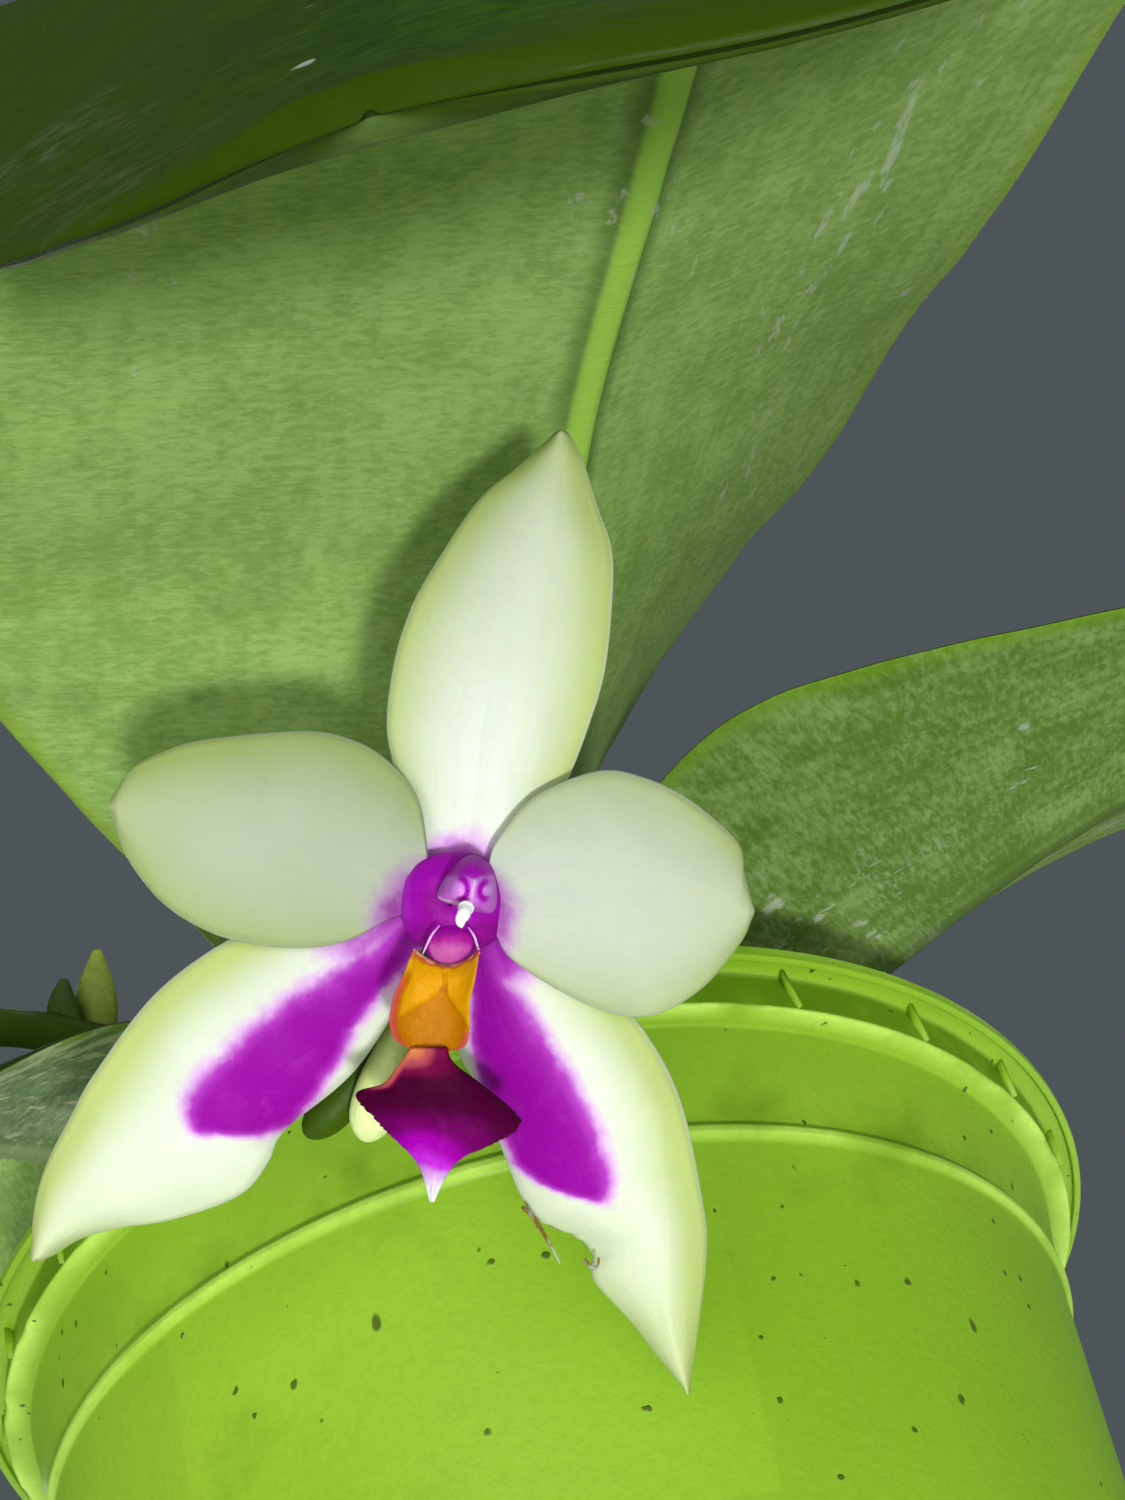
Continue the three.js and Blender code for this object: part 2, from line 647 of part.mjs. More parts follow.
/** The column: its broad base, its hood with two pads, and the throat below the hood. */
function columnGeometry() {
  return fused([
    stalk([[0.5, 0.4, 1.8], [0.5, 0.4, 2.6], [0.6, 0.4, 3.6]], [2.4, 3.1, 3, 1.5], { sides: 14, steps: 5 }),
    stalk([[1.7, 1.5, 3], [1.8, 1.5, 4.6], [1.7, 1.4, 6.2]], [1.5, 1.95, 1.9, 1.1], { sides: 12, steps: 6 }),
    stalk([[1.2, 1.6, 5.2], [1.2, 1.6, 6.2], [1.2, 1.6, 6.7]], [0.6, 0.6, 0.25], { sides: 8, steps: 3 }),
    stalk([[2.8, 1.5, 5], [2.8, 1.5, 5.9], [2.8, 1.5, 6.4]], [0.5, 0.5, 0.2], { sides: 8, steps: 3 }),
    stalk([[0.5, -1.2, 2.6], [0.5, -1.7, 3], [0.5, -2, 3.4]], [1.4, 1.2, 0.6], { sides: 10, steps: 3 }),
  ]);
}

/** The pale hooked beak in front of the column. */
function antherCap() {
  const axis = [[1.8, 0.5, 7.4], [1.5, 0.1, 7.9], [1.3, -0.5, 8.1], [1.4, -0.8, 7.9]];
  return stalk(axis, [0.35, 0.5, 0.45, 0.25], { sides: 8, steps: 6 });
}

/** The lip's yellow base: a trough with raised sides, a thick callus and a tooth. */
function lipCallus() {
  const trough = petalSheet({
    left: [[2.3, -3], [2.1, -4.8], [1.9, -7], [0.8, -8.5]],
    right: [[-1.8, -3], [-2.7, -4.8], [-3.1, -6.6], [-2, -8.4]],
    height: (s, t) => 3.2 + 1.8 * s + 1.7 * Math.abs(t) ** 3,
    rows: 5,
    columns: 6,
    thickness: 0.9,
  });
  return fused([
    trough,
    stalk([[-0.1, -4.4, 3.8], [-0.1, -4.7, 5.6], [-0.1, -5.1, 7]], [1.3, 1, 0.4], { sides: 6, steps: 3 }),
    stalk([[-1.2, -3.4, 3.6], [-1.3, -5.5, 4.6], [-1.1, -7.4, 5.3]], [0.6, 1, 0.5], { sides: 6, steps: 3 }),
    stalk([[1.1, -3.4, 3.6], [1.1, -5.5, 4.6], [0.6, -7.4, 5.3]], [0.6, 1, 0.5], { sides: 6, steps: 3 }),
  ]);
}

/** The lip's front lobe, shaped like an anchor, with a keel down its middle. */
const lipMidlobe = () =>
  petalSheet({
    left: [[0.8, -9], [2.5, -10.7], [5.1, -13.1], [2.5, -14.8], [0.9, -15.8], [0.1, -17.3]],
    right: [[-2.1, -9], [-3.2, -10.2], [-5.3, -11.4], [-2.9, -14.1], [-1.3, -15.4], [-0.6, -17.2]],
    height: (s, t) => 6.2 + 1.4 * s - 1.6 * Math.abs(t) ** 1.5 * Math.sin(Math.PI * s),
    rows: 12,
    columns: 8,
    thickness: 1.1,
  });

// Assembly

/** Adds one named piece to a group. */
function addPiece(group, name, geometry, material) {
  const mesh = new THREE.Mesh(geometry, material);
  mesh.name = name;
  group.add(mesh);
}

/** The open flower, placed where it hangs in front of the rim. */
function flowerGroup() {
  const flower = new THREE.Group();
  flower.name = 'flower';
  addPiece(flower, 'sepal_dorsal', dorsalSepal(), tepalWhite());
  addPiece(flower, 'sepal_left', leftSepal(), tepalWhite());
  addPiece(flower, 'sepal_right', rightSepal(), tepalWhite());
  addPiece(flower, 'petal_left', leftPetal(), tepalWhite());
  addPiece(flower, 'petal_right', rightPetal(), tepalWhite());
  addPiece(flower, 'column', columnGeometry(), columnPurple());
  addPiece(flower, 'anther_cap', antherCap(), capWhite());
  addPiece(flower, 'lip_callus', lipCallus(), callusYellow());
  addPiece(flower, 'lip_midlobe', lipMidlobe(), lobePurple());
  const right = V(...FLOWER_RIGHT).normalize();
  const front = V().crossVectors(right, V(...FLOWER_UP)).normalize();
  const up = V().crossVectors(front, right);
  flower.setRotationFromMatrix(new THREE.Matrix4().makeBasis(right, up, front));
  flower.position.set(...FLOWER_ORIGIN);
  return flower;
}

const plant = new THREE.Group();
plant.name = 'potted_orchid';
addPiece(plant, 'pot', potGeometry(), limePlastic());
addPiece(plant, 'bark', barkGeometry(), barkBrown());
addPiece(plant, 'stem', stemGeometry(), stemGreen());
ROOT_ANGLES.forEach((_, index) => addPiece(plant, `root_${index + 1}`, rootGeometry(index), rootSilver()));
addPiece(plant, 'leaf_front', frontLeaf(), leafGreen());
addPiece(plant, 'leaf_right', rightLeaf(), leafGreen());
addPiece(plant, 'leaf_left_old', oldLeftLeaf(), oldLeafGreen());
addPiece(plant, 'leaf_back', backLeaf(), leafGreen());
addPiece(plant, 'leaf_back_left', backLeftLeaf(), leafGreen());
addPiece(plant, 'leaf_young', youngLeaf(), leafGreen());
addPiece(plant, 'flower_spike', flowerSpike(), spikeGreen());
addPiece(plant, 'pedicel', pedicelGeometry(), pedicelGreen());
addPiece(plant, 'flower_bud', budGeometry(), budGreen());
addPiece(plant, 'old_spike', oldSpike(), spikeGreen());
plant.add(flowerGroup());

export default plant;
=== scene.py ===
"""An orchid in bloom in a lime green nursery pot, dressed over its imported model.

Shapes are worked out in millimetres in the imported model's frame: the origin is the middle of the pot's
base, +Z is up and the flower hangs at -Y. They are written to the meshes in metres.
"""
import logging
from collections.abc import Callable
from dataclasses import dataclass, field
from enum import Enum

import bpy
import numpy as np
from mathutils import Matrix


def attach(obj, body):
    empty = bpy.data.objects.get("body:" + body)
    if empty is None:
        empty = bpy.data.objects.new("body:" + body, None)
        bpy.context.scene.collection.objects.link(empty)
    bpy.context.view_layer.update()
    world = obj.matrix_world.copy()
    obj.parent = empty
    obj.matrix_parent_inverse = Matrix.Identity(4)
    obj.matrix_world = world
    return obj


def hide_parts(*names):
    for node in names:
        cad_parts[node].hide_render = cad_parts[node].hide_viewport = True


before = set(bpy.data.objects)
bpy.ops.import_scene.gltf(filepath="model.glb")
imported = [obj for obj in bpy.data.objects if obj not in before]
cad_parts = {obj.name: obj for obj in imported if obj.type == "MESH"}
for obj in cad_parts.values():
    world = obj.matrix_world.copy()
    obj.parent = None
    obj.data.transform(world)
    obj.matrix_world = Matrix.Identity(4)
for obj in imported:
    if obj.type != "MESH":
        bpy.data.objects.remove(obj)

MM = 0.001
Array = np.ndarray
Socket = bpy.types.NodeSocket
Colour = tuple[float, float, float, float]
Numbers = tuple[float, ...]
Spot = tuple[float, float]
Point = tuple[float, float, float]
# The flower faces the camera, so both are turned by these directions.
TO_THE_RIGHT: Point = (0.9747, 0.1119, -0.1936)
UPWARD: Point = (0.2073, -0.7769, 0.5946)
log = logging.getLogger("orchid")


def paint(red: float, green: float, blue: float) -> Colour:
    """Turns a screen colour, 0 to 255 a channel, into linear light.

    Args:
        red: Red channel.
        green: Green channel.
        blue: Blue channel.

    Returns:
        The opaque colour.
    """
    shares = np.array([red, green, blue]) / 255
    linear = np.where(shares < 0.04045, shares / 12.92, ((shares + 0.055) / 1.055) ** 2.4)
    return (*(float(share) for share in linear), 1.0)


def smooth(x: Array) -> Array:
    """Eases from 0 to 1 while x goes from 0 to 1."""
    x = np.clip(x, 0, 1)
    return x * x * (3 - 2 * x)


def bell(x: Array, width: float) -> Array:
    """Gives 1 where x is 0 and falls softly to 0 on both sides."""
    return np.exp(-((x / width) ** 2))


def rim(x: Array, start: float, depth: float) -> Array:
    """Gives 1 up to the start, then falls along an ellipse by the depth until x, with any sign, is 1."""
    return np.sqrt(1 - depth * np.clip((np.abs(x) - start) / (1 - start), 0, 1) ** 2)


def unit(vectors: Array) -> Array:
    """Scales vectors to length 1."""
    return vectors / np.maximum(np.linalg.norm(vectors, axis=-1, keepdims=True), 1e-12)


def viewer_axes(right: Point, up: Point) -> Array:
    """Gives three unit vectors at right angles: to the right, up and towards the viewer.

    Args:
        right: Direction to the right.
        up: A direction roughly upward.

    Returns:
        The three vectors, one a row.
    """
    right = unit(np.array(right))
    front = unit(np.cross(right, np.array(up)))
    return np.stack([right, np.cross(front, right), front])


def ripple(points: Array, wavelength: float, seed: int) -> Array:
    """Gives a smooth random height to each point.

    The height is the mean of six sine waves that run in random directions with random phases, so points that
    lie close together have nearly the same height.

    Args:
        points: Points in millimetres, in the last axis.
        wavelength: Rough length of the waves in millimetres.
        seed: Seed of the random directions and phases.

    Returns:
        Heights from about -1 to 1, one a point.
    """
    random = np.random.default_rng(seed)
    directions = unit(random.normal(size=(6, points.shape[-1]))) * random.uniform(0.7, 1.6, (6, 1))
    phases = random.uniform(0, 2 * np.pi, 6)
    return np.sin(points @ directions.T * (2 * np.pi / wavelength) + phases).mean(axis=-1) * 1.6


class Curve:
    """A smooth curve through points, followed by its own length."""

    def __init__(self, points: object) -> None:
        """Takes the points and measures the curve.

        Each span is a cubic whose slope at a point is half the step between that point's neighbours.

        Args:
            points: Two or more points, in order.
        """
        inner = np.asarray(points, dtype=float)
        self.points = np.vstack([2 * inner[0] - inner[1], inner, 2 * inner[-1] - inner[-2]])
        self.spans = len(inner) - 1
        shares = np.linspace(0, 1, 401)
        steps = np.linalg.norm(np.diff(self.by_span(shares), axis=0), axis=1)
        lengths = np.concatenate([[0], np.cumsum(steps)])
        self.length = float(lengths[-1])
        self.table = (lengths / max(self.length, 1e-9), shares)

    def by_span(self, share: Array) -> Array:
        """Gives the points at shares of the number of spans.

        Args:
            share: Shares from 0 to 1.

        Returns:
            The points, in the last axis.
        """
        x = np.clip(share, 0, 1) * self.spans
        span = np.minimum(x.astype(int), self.spans - 1)
        w = (x - span)[..., None]
        a, b, c, d = (self.points[span + k] for k in range(4))
        square, cube = 2 * a - 5 * b + 4 * c - d, 3 * b - a - 3 * c + d
        return 0.5 * (2 * b + (c - a) * w + square * w**2 + cube * w**3)

    def at(self, share: Array) -> Array:
        """Gives the points at shares of the length."""
        return self.by_span(np.interp(share, *self.table))

    def tangent(self, share: Array) -> Array:
        """Gives the directions at shares of the length."""
        return unit(self.at(np.minimum(share + 1e-3, 1)) - self.at(np.maximum(share - 1e-3, 0)))


def loop_points(points: object, share: Array) -> Array:
    """Gives points at shares of the way round a closed smooth curve through the given points.

    Args:
        points: Points of the closed curve, in order.
        share: Shares of the number of its spans.

    Returns:
        The points, in the last axis.
    """
    corners = np.asarray(points, dtype=float)
    count = len(corners)
    closed = Curve(np.concatenate([corners[-1:], corners, corners[:2]]))
    return closed.by_span((1 + share * count) / (count + 2))


def profile(values: Numbers, share: Array) -> Array:
    """Gives a smooth value at each share of the way through equally spaced values."""
    return Curve([[value] for value in values]).by_span(share)[..., 0]


def strip(edges: tuple[object, object], s: Array, share: Array) -> Array:
    """Gives the points at a share of the way from one edge to the other, both at s of their own lengths."""
    start, end = (Curve(edge).at(s[:, 0])[:, None] for edge in edges)
    return start + (end - start) * share[..., None]


def turned(radius: Array, z: Array, angle: Array) -> Array:
    """Gives the points at angles round the upright axis, from their radii and heights."""
    return np.stack([radius * np.cos(angle), radius * np.sin(angle), z + 0 * angle], axis=-1)


def round_angles(count: int) -> Array:
    """Gives evenly spaced angles of a full turn."""
    return np.linspace(0, 2 * np.pi, count, endpoint=False)


@dataclass
class Patch:
    """One closed surface: its points, its faces and the values its finish reads."""

    points: Array
    faces: list[list[int]]
    values: dict[str, Array] = field(default_factory=dict)

    def outward(self) -> "Patch":
        """Turns the faces outward if the volume they close is negative.

        Returns:
            The patch itself.
        """
        corners = self.points[np.array([face[:4] for face in self.faces if len(face) == 4])]
        a, b, c, d = (corners[:, k] for k in range(4))
        if (np.cross(a, b) * c).sum() + (np.cross(a, c) * d).sum() < 0:
            self.faces = [face[::-1] for face in self.faces]
        return self


def grid_faces(index: Array) -> list[list[int]]:
    """Gives the four-sided faces between the neighbours of a grid of point numbers."""
    corners = [index[:-1, :-1], index[:-1, 1:], index[1:, 1:], index[1:, :-1]]
    return np.stack(corners, axis=-1).reshape(-1, 4).tolist()


def closed_sheet(upper: Array, lower: Array, values: dict[str, tuple[Array, Array]]) -> Patch:
    """Closes the gap between two grids of points that share their rows and columns.

    Args:
        upper: Points of the upper face, rows by columns by 3.
        lower: Points of the lower face.
        values: Values of each name for the upper and the lower face, rows by columns or rows by columns by 3.

    Returns:
        The closed sheet.
    """
    rows, columns = upper.shape[:2]
    index = np.arange(rows * columns).reshape(rows, columns)
    below = index + rows * columns
    border = np.concatenate([index[0, :-1], index[:-1, -1], index[-1, :0:-1], index[:0:-1, 0]])
    after = np.roll(border, -1)
    walls = np.stack([after, border, border + rows * columns, after + rows * columns], axis=-1).tolist()
    flat = {
        name: np.concatenate([np.broadcast_to(side, upper.shape[: side.ndim]).reshape(-1, *side.shape[2:])
                              for side in pair])
        for name, pair in values.items()
    }
    return Patch(np.concatenate([upper.reshape(-1, 3), lower.reshape(-1, 3)]),
                 grid_faces(index) + grid_faces(below[:, ::-1]) + walls, flat).outward()


def closed_tube(rings: Array, values: dict[str, Array]) -> Patch:
    """Closes a row of rings of points with a face at each end.

    Args:
        rings: Points, rings by points of a ring by 3.
        values: Values of each name, rings by points of a ring.

    Returns:
        The closed tube.
    """
    count, sides = rings.shape[:2]
    index = np.arange(count * sides).reshape(count, sides)
    faces = grid_faces(np.concatenate([index, index[:, :1]], axis=1))
    faces += [index[0].tolist(), index[-1, ::-1].tolist()]
    flat = {name: np.broadcast_to(value, (count, sides)).reshape(-1) for name, value in values.items()}
    return Patch(rings.reshape(-1, 3), faces, flat).outward()


def add_object(name: str, patches: list[Patch]) -> bpy.types.Object:
    """Adds an object made of closed surfaces, with the values that they carry.

    Args:
        name: Name of the object.
        patches: Its closed surfaces, in millimetres.

    Returns:
        The new object.
    """
    counts = np.cumsum([0] + [len(patch.points) for patch in patches])
    faces = [[corner + int(start) for corner in face]
             for patch, start in zip(patches, counts) for face in patch.faces]
    mesh = bpy.data.meshes.new(name)
    mesh.from_pydata((np.concatenate([patch.points for patch in patches]) * MM).tolist(), [], faces)
    for key in patches[0].values:
        values = np.concatenate([patch.values[key] for patch in patches]).astype(np.float32)
        kind, member = ("FLOAT", "value") if values.ndim == 1 else ("FLOAT_VECTOR", "vector")
        mesh.attributes.new(key, kind, "POINT").data.foreach_set(member, values.ravel())
    made = bpy.data.objects.new(name, mesh)
    bpy.context.scene.collection.objects.link(made)
    return made


def make_piece(name: str, patches: list[Patch], node: str, material: bpy.types.Material
               ) -> bpy.types.Object:
    """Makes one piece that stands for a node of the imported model.

    Args:
        name: Name of the piece.
        patches: Its closed surfaces, in millimetres.
        node: Node that it replaces.
        material: Its finish.

    Returns:
        The new object.
    """
    piece = add_object(name, patches)
    mesh = piece.data
    mesh.polygons.foreach_set("use_smooth", np.ones(len(mesh.polygons), dtype=bool))
    mesh.materials.append(material)
    mesh.validate()
    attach(piece, "root")
    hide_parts(node)
    log.info("%s: %d faces", name, len(mesh.polygons))
    return piece


# Shader building


class Value:
    """A number that shader nodes work out, so that sums of such numbers read as plain Python."""

    def __init__(self, graph: "Graph", socket: Socket) -> None:
        """Takes the graph that new nodes go into and the socket that carries the number."""
        self.graph, self.socket = graph, socket

    def sum(self, operation: str, *others: object) -> "Value":
        """Gives the outcome of a Math node that has this number as its first input."""
        inputs = dict(enumerate((self, *others)))
        return Value(self.graph, self.graph.node("Math", inputs, operation=operation).outputs[0])

    def __add__(self, other: object) -> "Value":
        """Adds a number."""
        return self.sum("ADD", other)

    def __sub__(self, other: object) -> "Value":
        """Takes a number away."""
        return self.sum("SUBTRACT", other)

    def __mul__(self, other: object) -> "Value":
        """Multiplies by a number."""
        return self.sum("MULTIPLY", other)

    def __abs__(self) -> "Value":
        """Drops the sign."""
        return self.sum("ABSOLUTE")

    def larger(self, other: object) -> "Value":
        """Gives the larger of two numbers."""
        return self.sum("MAXIMUM", other)

    def ease(self, low: object, high: object) -> "Value":
        """Gives 0 from the low end on and 1 from the high end on, smooth between them."""
        node = self.graph.node("MapRange", {"Value": self, "From Min": low, "From Max": high},
                               interpolation_type="SMOOTHSTEP")
        return Value(self.graph, node.outputs[0])


class Graph:
    """A short way to write the nodes of a material or of a shared group."""

    def __init__(self, tree: bpy.types.NodeTree) -> None:
        """Takes the tree that the nodes go into."""
        self.tree = tree

    def node(self, kind: str, inputs: dict | None = None, **settings: object) -> bpy.types.Node:
        """Adds a node.

        Args:
            kind: Blender's name of the node, without its "ShaderNode".
            inputs: Constants or other nodes' outputs, by the name or number of the input.
            settings: Properties of the node.

        Returns:
            The new node.
        """
        node = self.tree.nodes.new("ShaderNode" + kind)
        for key, value in settings.items():
            setattr(node, key, value)
        for key, value in (inputs or {}).items():
            value = value.socket if isinstance(value, Value) else value
            if isinstance(value, Socket):
                self.tree.links.new(value, node.inputs[key])
            else:
                node.inputs[key].default_value = value
        return node

    def mix(self, factor: Value, a: object, b: object) -> Socket:
        """Mixes two colours."""
        return self.node("Mix", {0: factor, 6: a, 7: b}, data_type="RGBA").outputs[2]

    def noise(self, vector: object, scale: object, detail: float = 2.0, roughness: float = 0.5) -> Value:
        """Gives noise from 0 to 1."""
        inputs = {"Vector": vector, "Scale": scale, "Detail": detail, "Roughness": roughness}
        return Value(self, self.node("TexNoise", inputs).outputs[0])

    def stretch(self, vector: object, factors: Point) -> Socket:
        """Scales a coordinate along its three axes."""
        return self.node("VectorMath", {0: vector, 1: factors}, operation="MULTIPLY").outputs[0]

    def carried(self, name: str) -> Value:
        """Reads a number that the mesh carries."""
        return Value(self, self.node("Attribute", attribute_name=name).outputs["Fac"])

    def carried_vector(self, name: str) -> Socket:
        """Reads a vector that the mesh carries."""
        return self.node("Attribute", attribute_name=name).outputs["Vector"]

    def split(self, vector: object) -> list[Value]:
        """Gives the three numbers of a vector."""
        return [Value(self, socket) for socket in self.node("SeparateXYZ", {0: vector}).outputs]

    def shared(self, effect: "Effect", **inputs: object) -> Value:
        """Adds a shared effect, with its inputs by name."""
        return Value(self, self.node("Group", inputs, node_tree=effect.group()).outputs[0])


class Effect(Enum):
    """The shader effects that several finishes share, by their group's name."""

    SPECKS = "specks"
    STREAKS = "streaks"
    BAND = "band"

    def group(self) -> bpy.types.NodeTree:
        """Gives the effect's node group, made the first time that it is asked for."""
        return bpy.data.node_groups.get(self.value) or {
            Effect.SPECKS: self._specks, Effect.STREAKS: self._streaks, Effect.BAND: self._band,
        }[self]()

    def _new(self, **inputs: str) -> tuple[Graph, list[Value]]:
        """Starts a group, from the socket type of each of its inputs, and gives those inputs.

        Args:
            inputs: Socket type of each input, by its name.

        Returns:
            The group's graph and its inputs, followed by one spare.
        """
        tree = bpy.data.node_groups.new(self.value, "ShaderNodeTree")
        for name, kind in inputs.items():
            tree.interface.new_socket(name=name, in_out="INPUT", socket_type="NodeSocket" + kind)
        tree.interface.new_socket(name="Mask", in_out="OUTPUT", socket_type="NodeSocketFloat")
        graph = Graph(tree)
        return graph, [Value(graph, socket) for socket in tree.nodes.new("NodeGroupInput").outputs]

    @staticmethod
    def _end(mask: Value) -> bpy.types.NodeTree:
        """Ends a group with the mask as its output.

        Args:
            mask: What the group gives.

        Returns:
            The finished group.
        """
        tree = mask.graph.tree
        tree.links.new(mask.socket, tree.nodes.new("NodeGroupOutput").inputs[0])
        return tree

    def _specks(self) -> bpy.types.NodeTree:
        """Builds scattered specks: a share of the cells of a random pattern holds a ragged blot each.

        Returns:
            The group: 1 in a blot and 0 between the blots.
        """
        graph, (vector, scale, size, share, *_) = self._new(
            Vector="Vector", Scale="Float", Size="Float", Share="Float")
        bent = graph.node("TexNoise", {"Vector": vector, "Scale": scale * 3.0, "Detail": 1.0})
        reach = Value(graph, graph.node("Math", {0: 0.22, 1: scale}, operation="DIVIDE").outputs[0])
        moved = graph.node("VectorMath", {0: bent.outputs[1], 1: reach, 2: vector}, operation="MULTIPLY_ADD")
        cells = graph.node("TexVoronoi", {"Vector": moved.outputs[0], "Scale": scale, "Randomness": 1.0})
        first, second, _ = (Value(graph, socket) for socket in graph.node(
            "SeparateColor", {0: cells.outputs["Color"]}).outputs)
        edge = size * second * (Value(graph, bent.outputs[0]) * 1.6)
        blot = graph.node("MapRange", {"Value": cells.outputs["Distance"], "From Min": edge, "From Max": 0.0})
        return self._end(first.sum("LESS_THAN", share) * Value(graph, blot.outputs[0]).ease(0.0, 0.45))

    def _streaks(self) -> bpy.types.NodeTree:
        """Builds thin worn streaks where fine noise is high inside patches of coarse noise.

        Returns:
            The group: 1 in a streak and 0 elsewhere.
        """
        graph, (vector, scale, share, *_) = self._new(Vector="Vector", Scale="Float", Share="Float")
        level = graph.noise(vector, scale, 3.0, 0.7) + graph.noise(vector, scale * 0.12, 1.0) * 0.7
        return self._end((level + share * 0.4 - 1.12).ease(0.0, 0.09))

    def _band(self) -> bpy.types.NodeTree:
        """Builds a band: 1 where a value is close to 0, and 0 where it is beyond the band's reach."""
        _, (value, reach, softness, *_) = self._new(Value="Float", Reach="Float", Softness="Float")
        return self._end((reach - abs(value)).sum("DIVIDE", softness).ease(0.0, 1.0))


@dataclass(frozen=True)
class Surface:
    """Constants of the shader itself."""

    roughness: float = 0.5
    subsurface: float = 0.0
    specular: float = 0.5
    coat: float = 0.0
    subsurface_scale: float = 0.001


class Coat(Graph):
    """A material whose colour is laid on in layers."""

    def __init__(self, name: str, surface: Surface) -> None:
        """Starts the material with the constants of its shader.

        Args:
            name: Name of the material.
            surface: Constants of the shader.
        """
        self.material = bpy.data.materials.new(name)
        self.material.use_nodes = True
        super().__init__(self.material.node_tree)
        self.shader = self.tree.nodes["Principled BSDF"]
        self.place = self.node("TexCoord").outputs["Object"]
        self.colour: object = None
        for key, value in {
            "Roughness": surface.roughness, "Coat Weight": surface.coat, "Coat Roughness": 0.25,
            "Subsurface Weight": surface.subsurface, "Subsurface Scale": surface.subsurface_scale,
            "Specular IOR Level": surface.specular,
        }.items():
            self.shader.inputs[key].default_value = value

    def cover(self, mask: Value, colour: object, strength: float = 1.0) -> None:
        """Lays a colour over the layers below where the mask is 1, at the given strength."""
        self.colour = self.mix(mask * strength, self.colour, colour)

    def finish(self, relief: Value, depth: float, roughness: Value | None = None) -> bpy.types.Material:
        """Connects the layers to the shader.

        Args:
            relief: Height of the fine relief, 0 to 1.
            depth: Depth of the relief in metres.
            roughness: Roughness, or None to keep the constant.

        Returns:
            The finished material.
        """
        bump = self.node("Bump", {"Strength": 1.0, "Distance": depth, "Height": relief})
        self.tree.links.new(self.colour, self.shader.inputs["Base Color"])
        self.tree.links.new(bump.outputs[0], self.shader.inputs["Normal"])
        if roughness is not None:
            self.tree.links.new(roughness.socket, self.shader.inputs["Roughness"])
        return self.material


# Finishes


@dataclass(frozen=True)
class PotFinish:
    """Lime green moulded plastic with specks of soil and scuffs, painted highlights, and painted shade under
    the rim.
    """

    base: Colour = paint(144, 186, 46)
    shade: Colour = paint(124, 168, 30)
    # Colour of the painted highlight on the bead, the ledge and the brim.
    light: Colour = paint(184, 222, 92)
    # Darker green for the painted shade band on the wall below the shoulder, and for the grain.
    deep: Colour = paint(108, 148, 24)
    soil: Colour = paint(50, 58, 14)
    # Colour of the painted shade in the recess under the lip and inside the pot.
    painted_recess_shade: Colour = paint(92, 132, 14)

    def build(self) -> bpy.types.Material:
        """Builds the material.

        Returns:
            The material: two greens mixed by broad noise, a painted highlight on the bead, the ledge and the
                brim, a painted shade band on the wall below the shoulder, dark specks of two sizes, faint
                scuffs, and painted shade in the recess under the lip and inside the top of the pot.
        """
        coat = Coat("pot_plastic", Surface(0.42, specular=0.3))
        place = coat.place
        coat.colour = coat.mix(coat.noise(place, 22).ease(0.3, 0.75), self.shade, self.base)
        # Painted shade: a darker band on the wall between the bead and the shoulder.
        coat.cover(coat.carried("deep"), self.deep)
        # Painted highlight on the bead, the ledge and the brim, broken up by noise.
        coat.cover(coat.carried("pale") * coat.noise(place, 110).ease(0.25, 0.6), self.light)
        grain = coat.noise(place, 1300, 2, 0.6)
        coat.cover(grain.ease(0.35, 0.75), self.deep, 0.16)
        # Painted shade in the recess under the lip, on the webs' inner edges and on the inner wall near the
        # top, mottled by noise.
        painted_recess_shade = coat.carried("painted_recess_shade") + coat.noise(place, 90, 3, 0.65) - 0.62
        coat.cover(painted_recess_shade.ease(0.05, 0.6), self.painted_recess_shade)
        drawn_out, squeezed = coat.stretch(place, (1, 1, 0.5)), coat.stretch(place, (1, 1, 3))
        small = coat.shared(Effect.SPECKS, Vector=place, Scale=420, Size=0.22, Share=0.6)
        large = coat.shared(Effect.SPECKS, Vector=drawn_out, Scale=150, Size=0.12, Share=0.4)
        specks = small.larger(large)
        coat.cover(specks, self.soil, 0.8)
        scuffs = coat.shared(Effect.STREAKS, Vector=squeezed, Scale=160, Share=0.1)
        coat.cover(scuffs, self.soil, 0.1)
        rough = coat.noise(place, 60, 1) * 0.23 + 0.32
        return coat.finish(grain + specks * 2.0, 0.00006, rough)


